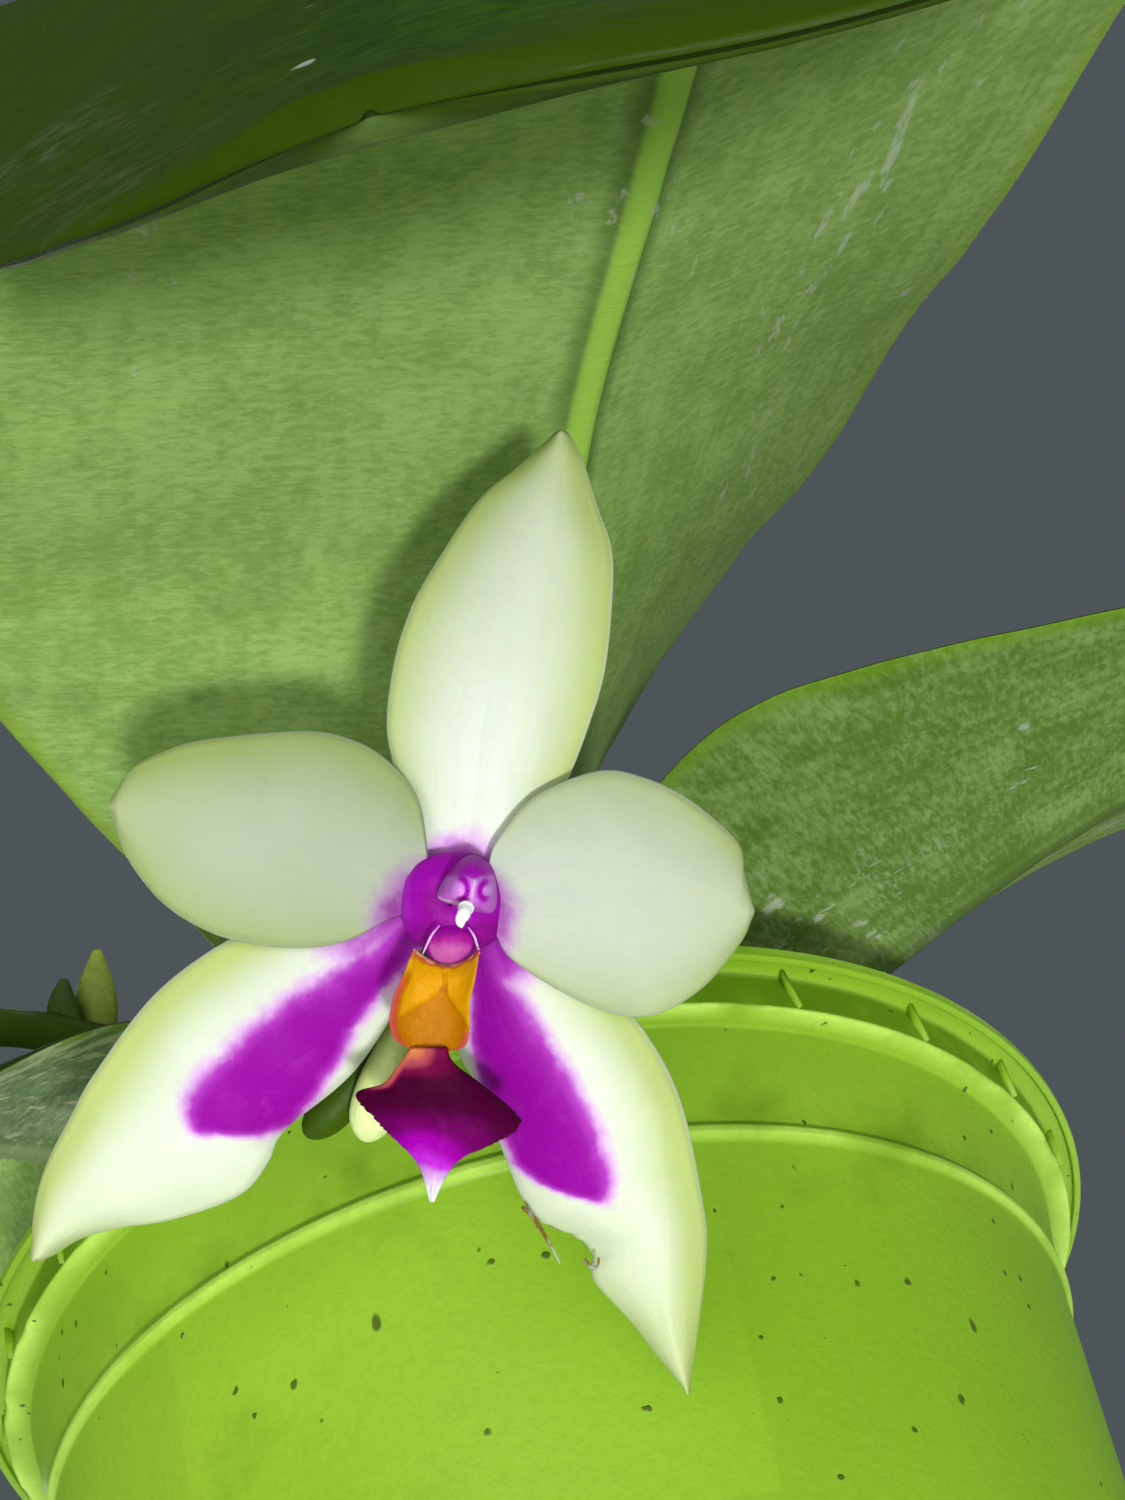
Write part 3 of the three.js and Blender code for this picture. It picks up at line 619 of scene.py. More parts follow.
@dataclass(frozen=True)
class LeafFinish:
    """A leathery leaf: matt and grainy below with a bright midrib, darker and glossier above."""

    name: str
    under: Colour = paint(119, 152, 77)
    under_pale: Colour = paint(146, 177, 101)
    midrib: Colour = paint(150, 192, 74)
    # Colour of the painted shade on both sides of the raised midrib.
    midrib_shade: Colour = paint(70, 98, 40)
    margin: Colour = paint(128, 160, 44)
    upper: Colour = paint(44, 72, 0)
    upper_deep: Colour = paint(30, 56, 0)
    # Colour of the painted shade over the hanging end of the leaf and on the upper face's margin.
    painted_tip_shade: Colour = paint(40, 60, 2)
    scar: Colour = paint(178, 190, 172)
    scars: float = 0.1
    dust: float = 0.3
    film: float = 0.1

    def build(self) -> bpy.types.Material:
        """Builds the material.

        Returns:
            The material: grain drawn out across the leaf and along it, broad mottling, a bright midrib with a
                painted shade band at its sides and a yellower margin, painted shade over the hanging end and
                along its upper margin, with specks, dust and pale scars.
        """
        coat = Coat(self.name, Surface(0.6, specular=0.06))
        place, blade = coat.place, coat.carried_vector("blade")
        aside, _, below = coat.split(blade)
        across, share, _ = coat.split(coat.carried_vector("share"))
        off = abs(across)
        grain = coat.noise(coat.stretch(blade, (0.4, 1, 1)), 1700, 2, 0.7)
        weave = coat.noise(coat.stretch(blade, (1, 0.12, 1)), 700, 1, 0.6)
        mottle = coat.noise(place, 45, 2, 0.6) * 0.6 + coat.noise(place, 190, 2, 0.6) * 0.7 - 0.35
        tone = grain + mottle + weave * 0.3
        low = coat.mix(tone.ease(0.7, 1.25), self.under, self.under_pale)
        high = coat.mix(tone.ease(0.7, 1.2), self.upper_deep, self.upper)
        coat.colour = coat.mix(below, high, low)
        rib = coat.shared(Effect.BAND, Value=aside, Reach=0.0016, Softness=0.0006)
        midrib_shade = coat.shared(Effect.BAND, Value=aside, Reach=0.0036, Softness=0.002)
        lasting = below * share.ease(0.95, 0.8)
        # Painted shade in a band on both sides of the raised midrib, then the midrib's own brighter colour.
        coat.cover((midrib_shade - rib) * lasting, self.midrib_shade, 0.6)
        coat.cover(rib * lasting, self.midrib, 0.9)
        # Painted shade: the hanging end is darkened on both faces, away from the midrib.
        coat.cover(share.ease(0.72, 0.84) * off.ease(0.1, 0.6), self.painted_tip_shade, 0.85)
        # Along the margin the underside is yellower, while the upper face and the tip take the painted shade
        # colour.
        margin = coat.mix(below * share.ease(0.85, 0.6), self.painted_tip_shade, self.margin)
        coat.cover(off.ease(0.93, 1.0).larger(share.ease(0.985, 1.0)), margin, 0.7)
        dark = coat.shared(Effect.SPECKS, Vector=place, Scale=70, Size=0.12, Share=0.16)
        coat.cover(dark, self.upper_deep, 0.75)
        dust = coat.shared(Effect.SPECKS, Vector=place, Scale=130, Size=0.13, Share=self.dust)
        drawn_out = coat.stretch(blade, (1, 0.5, 1))
        scars = coat.shared(Effect.STREAKS, Vector=drawn_out, Scale=420, Share=self.scars)
        film = coat.noise(place, 60, 3, 0.7).ease(0.56, 0.72) * (grain.ease(0.4, 0.7) * self.film)
        worn = dust.larger(scars).larger(film)
        coat.cover(worn, self.scar, 0.6)
        rough = below * 0.14 + worn * 0.2 + 0.46
        return coat.finish(grain * 0.5 + weave * 0.8, 0.00018, rough)


@dataclass(frozen=True)
class TepalFinish:
    """A waxy white sepal or petal, greenish at its margins, flushed and blotched with purple."""

    white: Colour = paint(226, 231, 223)
    green: Colour = paint(192, 208, 128)
    # Colour that the painted shade multiplies the tepal's colour by.
    dim: Colour = (0.47, 0.51, 0.44, 1.0)
    lilac: Colour = paint(220, 170, 232)
    purple: Colour = paint(176, 50, 190)
    deep: Colour = paint(150, 0, 160)
    brown: Colour = paint(112, 84, 40)
    vein: Colour = paint(196, 200, 190)

    def build(self) -> bpy.types.Material:
        """Builds the material.

        Returns:
            The material: white to green, then lilac to purple where the mesh says it is flushed, with faint
                veins and browned spots, darkened by painted shade as far as the mesh says.
        """
        coat = Coat("tepal", Surface(0.5, subsurface=0.2, specular=0.08))
        place, shares = coat.place, coat.carried_vector("share")
        across, share, _ = coat.split(shares)
        wave = coat.noise(place, 160, 3) - 0.5
        grain = coat.noise(place, 1400, 2, 0.6)
        coat.colour = coat.mix((coat.carried("green") + wave * 0.25).ease(0.0, 1.0), self.white, self.green)
        vein = (across * 4.0 + wave * 0.5).sum("PINGPONG", 0.5).ease(0.12, 0.0) * share.ease(0.85, 0.1)
        coat.cover(vein, self.vein, 0.1)
        coat.cover(abs(across).ease(0.955, 1.0), self.white, 0.6)
        coat.cover(grain.ease(0.4, 0.75), self.vein, 0.1)
        flush = coat.carried("blush") + (grain - 0.5) * 0.12
        fringe = flush.larger(0.0).sum("MINIMUM", 1.0).sum("PINGPONG", 0.5)
        flush = flush + (coat.noise(place, 420, 3, 0.6) - 0.5) * 0.55 * fringe
        flush = flush - coat.noise(place, 520, 3, 0.6).ease(0.42, 0.75) * 0.14
        coat.cover(flush.ease(0.02, 0.45), self.lilac)
        coat.cover(flush.ease(0.3, 0.7), self.purple)
        coat.cover(flush.ease(0.6, 0.98), self.deep)
        # Painted shade: each tepal is darkened by the amount that its mesh carries.
        coat.colour = coat.node("Mix", {0: coat.carried("dim"), 6: coat.colour, 7: self.dim},
                                data_type="RGBA", blend_type="MULTIPLY").outputs[2]
        coat.cover(coat.carried("brown") * coat.noise(place, 900, 3).ease(0.4, 0.6), self.brown)
        folds = coat.noise(coat.stretch(shares, (1, 0.1, 1)), 14, 2)
        return coat.finish(grain * 0.4 + folds * 0.6, 0.00006)


@dataclass(frozen=True)
class SkinFinish:
    """A plant skin whose colour follows the tone that the mesh carries, with mottling, grain and specks.

    Each stop of its ramp is the tone that it stands at and then its screen colour.
    """

    name: str
    stops: tuple[tuple[float, float, float, float], ...]
    surface: Surface = Surface()
    mottle: float = 0.25
    mottle_scale: float = 250.0
    speck: Colour = paint(60, 50, 20)
    specks: float = 0.0
    depth: float = 0.0001

    def build(self) -> bpy.types.Material:
        """Builds the material.

        Returns:
            The material: a ramp of colours read at the tone, moved a little by noise, with specks over it.
        """
        coat = Coat(self.name, self.surface)
        patchy = coat.noise(coat.place, self.mottle_scale, 4, 0.6) - 0.5
        ramp = coat.node("ValToRGB", {0: coat.carried("tone") + patchy * self.mottle})
        ramp.color_ramp.interpolation = "EASE"
        elements = ramp.color_ramp.elements
        for element, (position, *colour) in zip(elements, (self.stops[0], self.stops[-1])):
            element.position, element.color = position, paint(*colour)
        for position, *colour in self.stops[1:-1]:
            elements.new(position).color = paint(*colour)
        coat.colour = ramp.outputs[0]
        grain = coat.noise(coat.place, 1800, 3, 0.6)
        coat.cover(grain.ease(0.35, 0.7), self.speck, 0.16)
        coat.cover(coat.shared(Effect.SPECKS, Vector=coat.place, Scale=900, Size=0.3, Share=self.specks),
                   self.speck, 0.7)
        return coat.finish(grain, self.depth)

    def dress(self, name: str, node: str, patches: list[Patch]) -> None:
        """Makes a piece in this finish."""
        make_piece(name, patches, node, self.build())


@dataclass(frozen=True)
class BarkFinish:
    """Bark chips of many browns with a fibrous grain."""

    light: Colour = paint(142, 98, 62)
    dark: Colour = paint(62, 38, 24)

    def build(self) -> bpy.types.Material:
        """Builds the material.

        Returns:
            The material: a brown for each chip, streaked lighter and darker along its fibres.
        """
        coat = Coat("bark", Surface(0.88))
        fibre = coat.noise(coat.stretch(coat.place, (1, 0.3, 1.4)), 900, 5, 0.7)
        tone = coat.carried("tone") * 0.7 + fibre * 0.7
        coat.colour = coat.mix(tone.ease(0.2, 1.1), self.dark, self.light)
        return coat.finish(fibre, 0.0005)


# Pot and bark


@dataclass
class Pot:
    """The nursery pot with its bead, collar, turned-down lip, webs and drain holes."""

    height: float = 110.0
    rim_radius: float = 60.0
    wall: float = 1.2
    foot: float = 2.6
    bead_height: float = 95.4
    bead_radius: float = 52.0
    slope: float = 0.165
    shoulder: float = 105.0
    shoulder_radius: float = 54.7
    collar: float = 57.2
    lip_bottom: float = 108.4
    webs: int = 24
    web_first: float = -62.5
    web_tilt: float = 14.0
    web_thickness: float = 0.32
    drains: int = 8
    drain_circle: float = 22.0
    drain_radius: float = 3.8
    segments: int = 288
    rounding: float = 0.35

    def radius(self, z: float) -> float:
        """Gives the radius of the outside wall at a height."""
        return self.bead_radius + self.slope * (z - self.bead_height)

    def outline(self) -> Array:
        """Gives the wall's closed outline as radius and height, with its corners rounded.

        Each corner is replaced by five points of a short curve whose ends lie on the two edges.

        Returns:
            Radii and heights.
        """
        brim, top, ledge, lip = self.rim_radius, self.height, self.shoulder, self.lip_bottom
        floor, inner = self.foot + self.wall, ledge + self.wall
        corners = np.array([
            [0.01, 0], [7, 0], [7.6, self.foot], [29.7, self.foot], [30.5, 0], [36, 0], [self.radius(1), 1],
            [self.radius(94.6), 94.6], [52.65, 95], [52.7, 95.6], [self.radius(96.3), 96.3],
            [self.shoulder_radius, ledge], [self.collar, ledge], [self.collar, 108.6], [57.8, 109],
            [59.2, 109], [59.2, lip], [brim, lip], [brim, 109.6], [59.6, top], [56, top], [56, inner],
            [self.shoulder_radius - self.wall, inner], [50.8, self.bead_height],
            [self.radius(floor) - self.wall, floor], [0.01, floor],
        ])
        before, after = np.roll(corners, 1, axis=0) - corners, np.roll(corners, -1, axis=0) - corners
        shorter = np.minimum(np.linalg.norm(before, axis=1), np.linalg.norm(after, axis=1))
        reach = np.minimum(self.rounding, 0.3 * shorter)[:, None]
        start, end = (corners[:, None] + (unit(edge) * reach)[:, None] for edge in (before, after))
        w = np.linspace(0, 1, 5)[None, :, None]
        curves = (1 - w) ** 2 * start + 2 * w * (1 - w) * corners[:, None] + w**2 * end
        return np.concatenate([corners[:1], curves[1:-1].reshape(-1, 2), corners[-1:]])

    def body(self) -> Patch:
        """Turns the outline about the axis.

        The shoulder's edge is cut back a little at uneven angles, as mould flash, and the whole wall is out
        of round by a tenth of a millimetre.

        Returns:
            The closed body.
        """
        angle = round_angles(self.segments)
        radius, z = self.outline().T[..., None]
        steps = np.sign(np.sin(5 * angle + 1) * np.sin(13 * angle) * np.cos(31 * angle + 2) - 0.25)
        flash = -0.16 * (1 + steps) * bell(radius - self.collar, 0.5) * bell(z - self.shoulder, 0.3)
        radius = radius * (1 + 0.0012 * np.sin(2 * angle + 0.6) + 0.0006 * np.sin(5 * angle)) + flash
        under_lip = smooth((z - self.shoulder) / 0.4) * smooth((109.1 - z) / 0.4)
        recess = bell(radius - self.collar, 0.3) * under_lip
        inside = smooth((z - 90) / 15) * (radius < self.shoulder_radius - 0.6)
        outside = radius > self.bead_radius
        # Where the painted highlight goes: the bead, the outer edge of the ledge and the brim.
        bead = bell(z - self.bead_height, 0.7) * outside
        ledge = bell(z - self.shoulder, 0.3) * (radius > self.collar - 0.7)
        brim = smooth((z - 109) / 0.6) * (radius > self.collar)
        return closed_tube(turned(radius, z, angle), {
            # Painted shade in the recess under the lip and on the inner wall near the top.
            "painted_recess_shade": np.maximum(recess * (0.8 + 0.2 * np.sin(3 * angle)), 0.8 * inside),
            # Painted highlight on the bead, the ledge and the brim.
            "pale": np.clip(bead + ledge + 0.6 * brim, 0, 1),
            # Painted shade band on the wall between the bead and the shoulder.
            "deep": smooth((z - 96.4) / 1.5) * smooth((104.9 - z) / 0.6) * outside,
        })

    def web(self, turn: float) -> Patch:
        """Gives one thin web on the collar: a plate between the shoulder and the lip that leans sideways.

        Args:
            turn: Its place round the pot, as an angle.

        Returns:
            The closed web.
        """
        x, z = np.array([[[56.8, 105.3], [57.6, 105.3]], [[56.8, 107.2], [57.9, 107.2]],
                         [[56.8, 109.2], [58.2, 109.2]]]).transpose(2, 0, 1)
        lean = np.tan(np.radians(self.web_tilt)) * (z - 107.5)
        cos, sin = np.cos(turn), np.sin(turn)
        one, other = (np.stack([x * cos - y * sin, x * sin + y * cos, z], axis=-1)
                      for y in (-self.web_thickness / 2 - lean, self.web_thickness / 2 - lean))
        # The webs' inner edges carry painted shade too.
        plain, painted_recess_shade = np.zeros((3, 2)), np.array([[0.6, 0.0]] * 3)
        values = {"painted_recess_shade": (painted_recess_shade, painted_recess_shade), "pale": (plain, plain), "deep": (plain, plain)}
        return closed_sheet(one, other, values)

    def drilled(self, piece: bpy.types.Object) -> None:
        """Cuts the drain holes out of the floor.

        Args:
            piece: The pot.
        """
        angle, heights = round_angles(24), np.array([1.0, 6.0])[:, None]
        cutter = add_object("drain_cutter", [
            closed_tube(turned(self.drain_radius + 0 * heights, heights, angle)
                        + self.drain_circle * np.array([np.cos(turn), np.sin(turn), 0]), {})
            for turn in round_angles(self.drains)
        ])
        cut = piece.modifiers.new("drains", "BOOLEAN")
        cut.operation, cut.solver, cut.object = "DIFFERENCE", "EXACT", cutter
        bpy.context.view_layer.update()
        result = bpy.data.meshes.new_from_object(piece.evaluated_get(bpy.context.evaluated_depsgraph_get()))
        piece.modifiers.clear()
        old, piece.data = piece.data, result
        bpy.data.meshes.remove(old)
        bpy.data.objects.remove(cutter)

    def build(self) -> None:
        """Builds the pot and dresses it."""
        turns = np.radians(self.web_first + 360 * np.arange(self.webs) / self.webs)
        patches = [self.body(), *(self.web(float(turn)) for turn in turns)]
        self.drilled(make_piece("lime_pot", patches, "pot", PotFinish().build()))


@dataclass
class Bark:
    """The bark that fills the pot: a rough bed with loose chips on it."""

    top: float = 94.2
    chips: int = 330
    chip_least: Point = (3.0, 1.8, 0.9)
    chip_most: Point = (7.5, 4.0, 2.0)
    spread: float = 44.5
    seed: int = 5

    def bed(self) -> Patch:
        """Builds the bed: a turned body with a lumpy top.

        Returns:
            The closed bed.
        """
        outline = np.array([[0.05, 4.3], [36.0, 4.3], [43.0, 48.0], [50.0, self.top - 1]]
                           + [[r, self.top] for r in np.linspace(48.5, 0.05, 26)])
        radius, z = outline.T[..., None]
        rings = turned(radius, z, round_angles(120))
        lumps = 0.9 * ripple(rings, 7, 3) + 0.5 * ripple(rings, 3, 4)
        rings[..., 2] += np.where(z > self.top - 2, lumps - 0.6, 0) * (radius < 49)
        return closed_tube(rings, {"tone": 0.25 + 0.2 * ripple(rings, 5, 9)})

    def chip(self, number: int, random: np.random.Generator) -> Patch:
        """Builds one chip: a blocky, lopsided lump, turned at random.

        Args:
            number: Number of the chip, which sets its place on a spiral.
            random: Source of its size, turn and roughness.

        Returns:
            The chip.
        """
        rows = np.array([0.0, 0.06, 0.3, 0.7, 0.94, 1.0])[:, None]
        angle = round_angles(8)
        block = np.array([0.35, 0.93, 1.0, 1.0, 0.93, 0.35])[:, None]
        square = block / np.maximum(np.abs(np.cos(angle)), np.abs(np.sin(angle))) ** 0.8
        size = random.uniform(self.chip_least, self.chip_most)
        local = np.stack([(rows - 0.5) * 2 * size[0] + 0 * angle, square * np.cos(angle) * size[1],
                          square * np.sin(angle) * size[2]], axis=-1)
        local[..., 1] *= 1 - random.uniform(0.1, 0.5) * rows
        local += (0.35 * ripple(local + 50 * random.random(), 4, number))[..., None]
        reaches = {"X": (-0.5, 0.5), "Y": (-0.45, 0.45), "Z": (0, 2 * np.pi)}
        x, y, z = (Matrix.Rotation(random.uniform(*reach), 3, axis) for axis, reach in reaches.items())
        spin = np.array(z @ y @ x)
        radius, way = self.spread * np.sqrt((number + 0.5) / self.chips), 2.4 * number
        place = np.array([radius * np.cos(way), radius * np.sin(way), self.top + random.uniform(0.2, 2.4)])
        return closed_tube(local @ spin.T + place, {"tone": np.full((1, 1), random.random())})

    def build(self) -> None:
        """Builds the bark and dresses it."""
        random = np.random.default_rng(self.seed)
        patches = [self.bed(), *(self.chip(number, random) for number in range(self.chips))]
        make_piece("bark_medium", patches, "bark", BarkFinish().build())


# Stalks


@dataclass
class Stalk:
    """A round or flattened stalk along a curve, rounded at its ends."""

    points: tuple[Point, ...]
    radii: Numbers
    flatness: float = 1.0
    facing: Point = (0.0, 0.0, 1.0)
    ends: Spot = (0.03, 0.03)
    knots: tuple[Point, ...] = ()
    tones: Numbers = (0.5, 0.5)
    sides: int = 28
    rows: int = 90
    lumps: float = 0.0

    def patch(self) -> Patch:
        """Sweeps an ellipse along the curve.

        The radius comes from the profile of radii, is swollen at each knot (share, width, amount), roughened
        by ripples, and closed round at both ends. The flat side faces the given direction.

        Returns:
            The closed stalk, with its tone along its length.
        """
        share = (1 - np.cos(np.pi * np.linspace(0, 1, self.rows + 1))) / 2
        curve = Curve(self.points)
        along, middle = curve.tangent(share), curve.at(share)[:, None]
        facing = np.asarray(self.facing, dtype=float)
        normal = unit(facing - (along @ facing)[:, None] * along)
        side = np.cross(along, normal)
        closing = np.ones_like(share)
        for x, end in zip((share, 1 - share), self.ends):
            closing = closing * np.sqrt(1 - (1 - np.clip(x / end, 0, 1)) ** 2)
        swell = 1 + sum((amount * bell(share - at, width) for at, width, amount in self.knots), 0 * share)
        radius = profile(self.radii, share) * swell * np.maximum(closing, 0.02)
        angle = round_angles(self.sides)
        ring = (normal[:, None] * (self.flatness * np.cos(angle))[None, :, None]
                + side[:, None] * np.sin(angle)[None, :, None])
        rough = 1 + self.lumps * ripple(middle + ring * 2, 5, 11)
        return closed_tube(middle + ring * (radius[:, None] * rough)[..., None],
                           {"tone": profile(self.tones, share)[:, None]})


@dataclass
class Stalks:
    """A piece made of stalks that grow into each other."""

    name: str
    node: str
    finish: SkinFinish
    parts: tuple[Stalk, ...]

    def build(self) -> None:
        """Builds the stalks and dresses them."""
        self.finish.dress(self.name, self.node, [part.patch() for part in self.parts])


def root_points(angle: float, index: int) -> tuple[Point, ...]:
    """Gives the points of a root that arches out of the stem and dives into the bark.

    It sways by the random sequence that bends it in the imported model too, and more so further out.

    Args:
        angle: Direction in which it leaves the stem, in degrees.
        index: Its number, which starts the sequence.

    Returns:
        The points.
    """
    state, modulus, multiplier = 91 + 37 * index, 2147483647, 16807

    def sway() -> float:
        """Gives the sequence's next turn, from -2.5 to 2.5 degrees."""
        nonlocal state
        state = (state * multiplier) % modulus
        return 5 * (state / modulus - 0.5)

    radii, heights, looseness = (7.9, 15, 25, 32, 35), (100.5, 102, 98.5, 89, 78), (1, 2, 2, 3)
    turns = np.radians([angle, *(angle + loose * sway() for loose in looseness)])
    return tuple((r * np.cos(turn), r * np.sin(turn), z) for r, turn, z in zip(radii, turns, heights))


# Leaves


@dataclass
class Leaf:
    """A leaf blade that bends along its midrib and folds up on both sides of it."""

    name: str
    midrib: tuple[Point, ...]
    side: float
    roll: Numbers
    base: float
    peak: float
    widths: Spot
    folds: tuple[Numbers, Numbers]
    curls: tuple[Numbers, Numbers]
    finish: LeafFinish
    slot: str = "leaf"
    rows: int = 170
    columns: int = 110
    midrib_thickness: float = 2.6
    margin_thickness: float = 0.4
    ridge: float = 1.1
    groove: float = 0.55

    def width(self, s: Array) -> Array:
        """Gives the blade's width as a share of its greatest width.

        Args:
            s: Shares of the length.

        Returns:
            The widths.
        """
        grow = self.base + (1 - self.base) * smooth(s / self.peak)
        beyond = np.maximum(s - self.peak, 0) / (1 - self.peak)
        return grow * np.sqrt(1 - beyond**2.2)

    def surface(self, s: Array, t: Array) -> tuple[Array, Array, Array]:
        """Places the blade's middle surface.

        A point lies at its share s of the midrib, then t times the width to the side, on a line that is
        folded up by the fold angle, and lifted by the curl times t squared. Close to the midrib the fold is
        rounded.

        Args:
            s: Shares of the length, one a row.
            t: Shares of the half width from -1 to 1, one a column.

        Returns:
            The points, the direction away from the underside in each row, and the distance from the midrib.
        """
        curve = Curve(self.midrib)
        along = curve.tangent(s)
        level = np.array([np.cos(np.radians(self.side)), np.sin(np.radians(self.side)), 0])
        across = unit(level - (along @ level)[:, None] * along)
        up = np.cross(across, along)
        turn = np.radians(profile(self.roll, s))[:, None]
        right = across * np.cos(turn) + up * np.sin(turn)
        lift = up * np.cos(turn) - across * np.sin(turn)
        fold, curl = (np.where(t < 0, profile(pair[0], s)[:, None], profile(pair[1], s)[:, None])
                      for pair in (self.folds, self.curls))
        fold = np.radians(fold)
        width = self.width(s)[:, None]
        reach = t * width * np.where(t < 0, *self.widths)
        rise = (np.sqrt(reach**2 + 0.7) - np.sqrt(0.7)) * np.sin(fold) + width * curl * t**2
        points = (curve.at(s)[:, None] + right[:, None] * (reach * np.cos(fold))[..., None]
                  + lift[:, None] * rise[..., None])
        return points, np.broadcast_to(lift[:, None], points.shape), reach

    def build(self) -> None:
        """Builds the blade and dresses it.

        The thickness falls from the midrib to the margin and is rounded off there. A flat-topped ridge runs
        along the underside and a shallow groove along the upper face, and both faces follow the same slight
        waves.
        """
        s = 0.99999 * np.sin(np.pi / 2 * np.linspace(0, 1, self.rows + 1))
        x = np.linspace(-1, 1, self.columns + 1)
        t = np.concatenate([[-1, -0.994], 0.984 * x * (0.5 + 0.5 * x**2), [0.994, 1]])
        points, lift, reach = self.surface(s, t)
        normal = unit(np.cross(np.gradient(points, axis=1), np.gradient(points, axis=0)))
        near = smooth(np.abs(t) / 0.3)[None, :, None]
        normal = unit(lift * (1 - near) + normal * near)
        rows, across, flat = s[:, None], t[None], 0 * reach
        swell = (self.midrib_thickness - self.margin_thickness) * (1 - across**2) * (1 - 0.5 * rows)
        half = (self.margin_thickness + swell) / 2 * rim(across, 0.975, 0.92)
        half = half * np.sqrt(np.clip((1 - rows) / 0.003, 0.01, 1))
        fade = smooth((1 - rows) / 0.25)
        ridge = self.ridge * (1 - 0.5 * rows) * fade * np.exp(-((reach / 1.35) ** 4))
        groove = self.groove * fade * bell(reach, 1.1)
        waves = (0.22 * ripple(points, 26, 7) + 0.1 * ripple(points, 11, 8)) * smooth(rows / 0.1)
        upper = points + normal * (half - groove + waves)[..., None]
        lower = points - normal * (half + ridge - waves)[..., None]
        blade = np.stack([reach * MM, rows * Curve(self.midrib).length * MM + flat, flat], axis=-1)
        share = np.stack([across + 0 * rows, rows + 0 * across, flat], axis=-1)
        values = {"blade": (blade, blade + np.array([0, 0, 1.0])), "share": (share, share)}
        make_piece(self.name + "_blade", [closed_sheet(upper, lower, values)], self.name,
                   self.finish.build())


def even_leaf(name: str, midrib: tuple[Point, ...], side: float, width: float, finish: LeafFinish) -> Leaf:
    """Gives a leaf with the usual channelled form and even halves.

    Args:
        name: Its node.
        midrib: Points of its midrib, from the stem out.
        side: Direction across the blade, in degrees.
        width: Its greatest half width.
        finish: Its finish.

    Returns:
        The leaf.
    """
    folds, curls = (46, 25, 14, 8), (0, -2, -4, -4)
    return Leaf(name, midrib, side, (0, 4, 3, 0), 0.22, 0.5, (width, width), (folds, folds), (curls, curls),
                finish)


# Flower


@dataclass(frozen=True)
class FlowerPlane:
    """The flower's own frame: x to the right and y up as seen from in front, z towards the front."""

    origin: Point = (-1.3, -84.0, 92.5)

    def place(self, local: Array) -> Array:
        """Moves points of the flower's frame to the model's."""
        return np.array(self.origin) + local @ viewer_axes(TO_THE_RIGHT, UPWARD)

    def stalk(self, stalk: Stalk) -> Patch:
        """Gives a stalk whose points are in the flower's frame.

        Args:
            stalk: The stalk.

        Returns:
            Its closed surface in the model's frame.
        """
        patch = stalk.patch()
        patch.points = self.place(patch.points)
        return patch

    def sheet(self, plan: Array, height: Array, half: Array, values: dict[str, Array]) -> Patch:
        """Gives a closed sheet.

        Args:
            plan: Places of its points in the flower's plane.
            height: Height of its middle surface in front of that plane.
            half: Half its thickness.
            values: Values of each name, the same for both faces.

        Returns:
            The closed sheet.
        """
        upper, under = (self.place(np.concatenate([plan, (height + offset)[..., None]], axis=-1))
                        for offset in (half, -half))
        return closed_sheet(upper, under, {key: (value, value) for key, value in values.items()})


@dataclass(frozen=True)
class Blotch:
    """A soft-edged patch of colour laid along a line in the flower's plane."""

    start: Spot
    direction: Spot
    stations: tuple[Point, ...]
    softness: Spot
    end_softness: float

    def mask(self, x: Array, y: Array) -> Array:
        """Gives 1 inside the patch and 0 outside.

        The patch lies between a low and a high side, both read off the stations (along, low, high) by the
        distance along the line.

        Args:
            x: Places to the right.
            y: Places up.

        Returns:
            The mask.
        """
        (dx, dy), (x0, y0) = self.direction, self.start
        along = (x - x0) * dx + (y - y0) * dy
        aside = (x - x0) * dy - (y - y0) * dx
        at, low, high = np.array(self.stations).T
        inside = (smooth((aside - np.interp(along, at, low)) / self.softness[0] + 0.5)
                  * smooth((np.interp(along, at, high) - aside) / self.softness[1] + 0.5))
        return inside * smooth((at[-1] - along) / self.end_softness + 0.5)


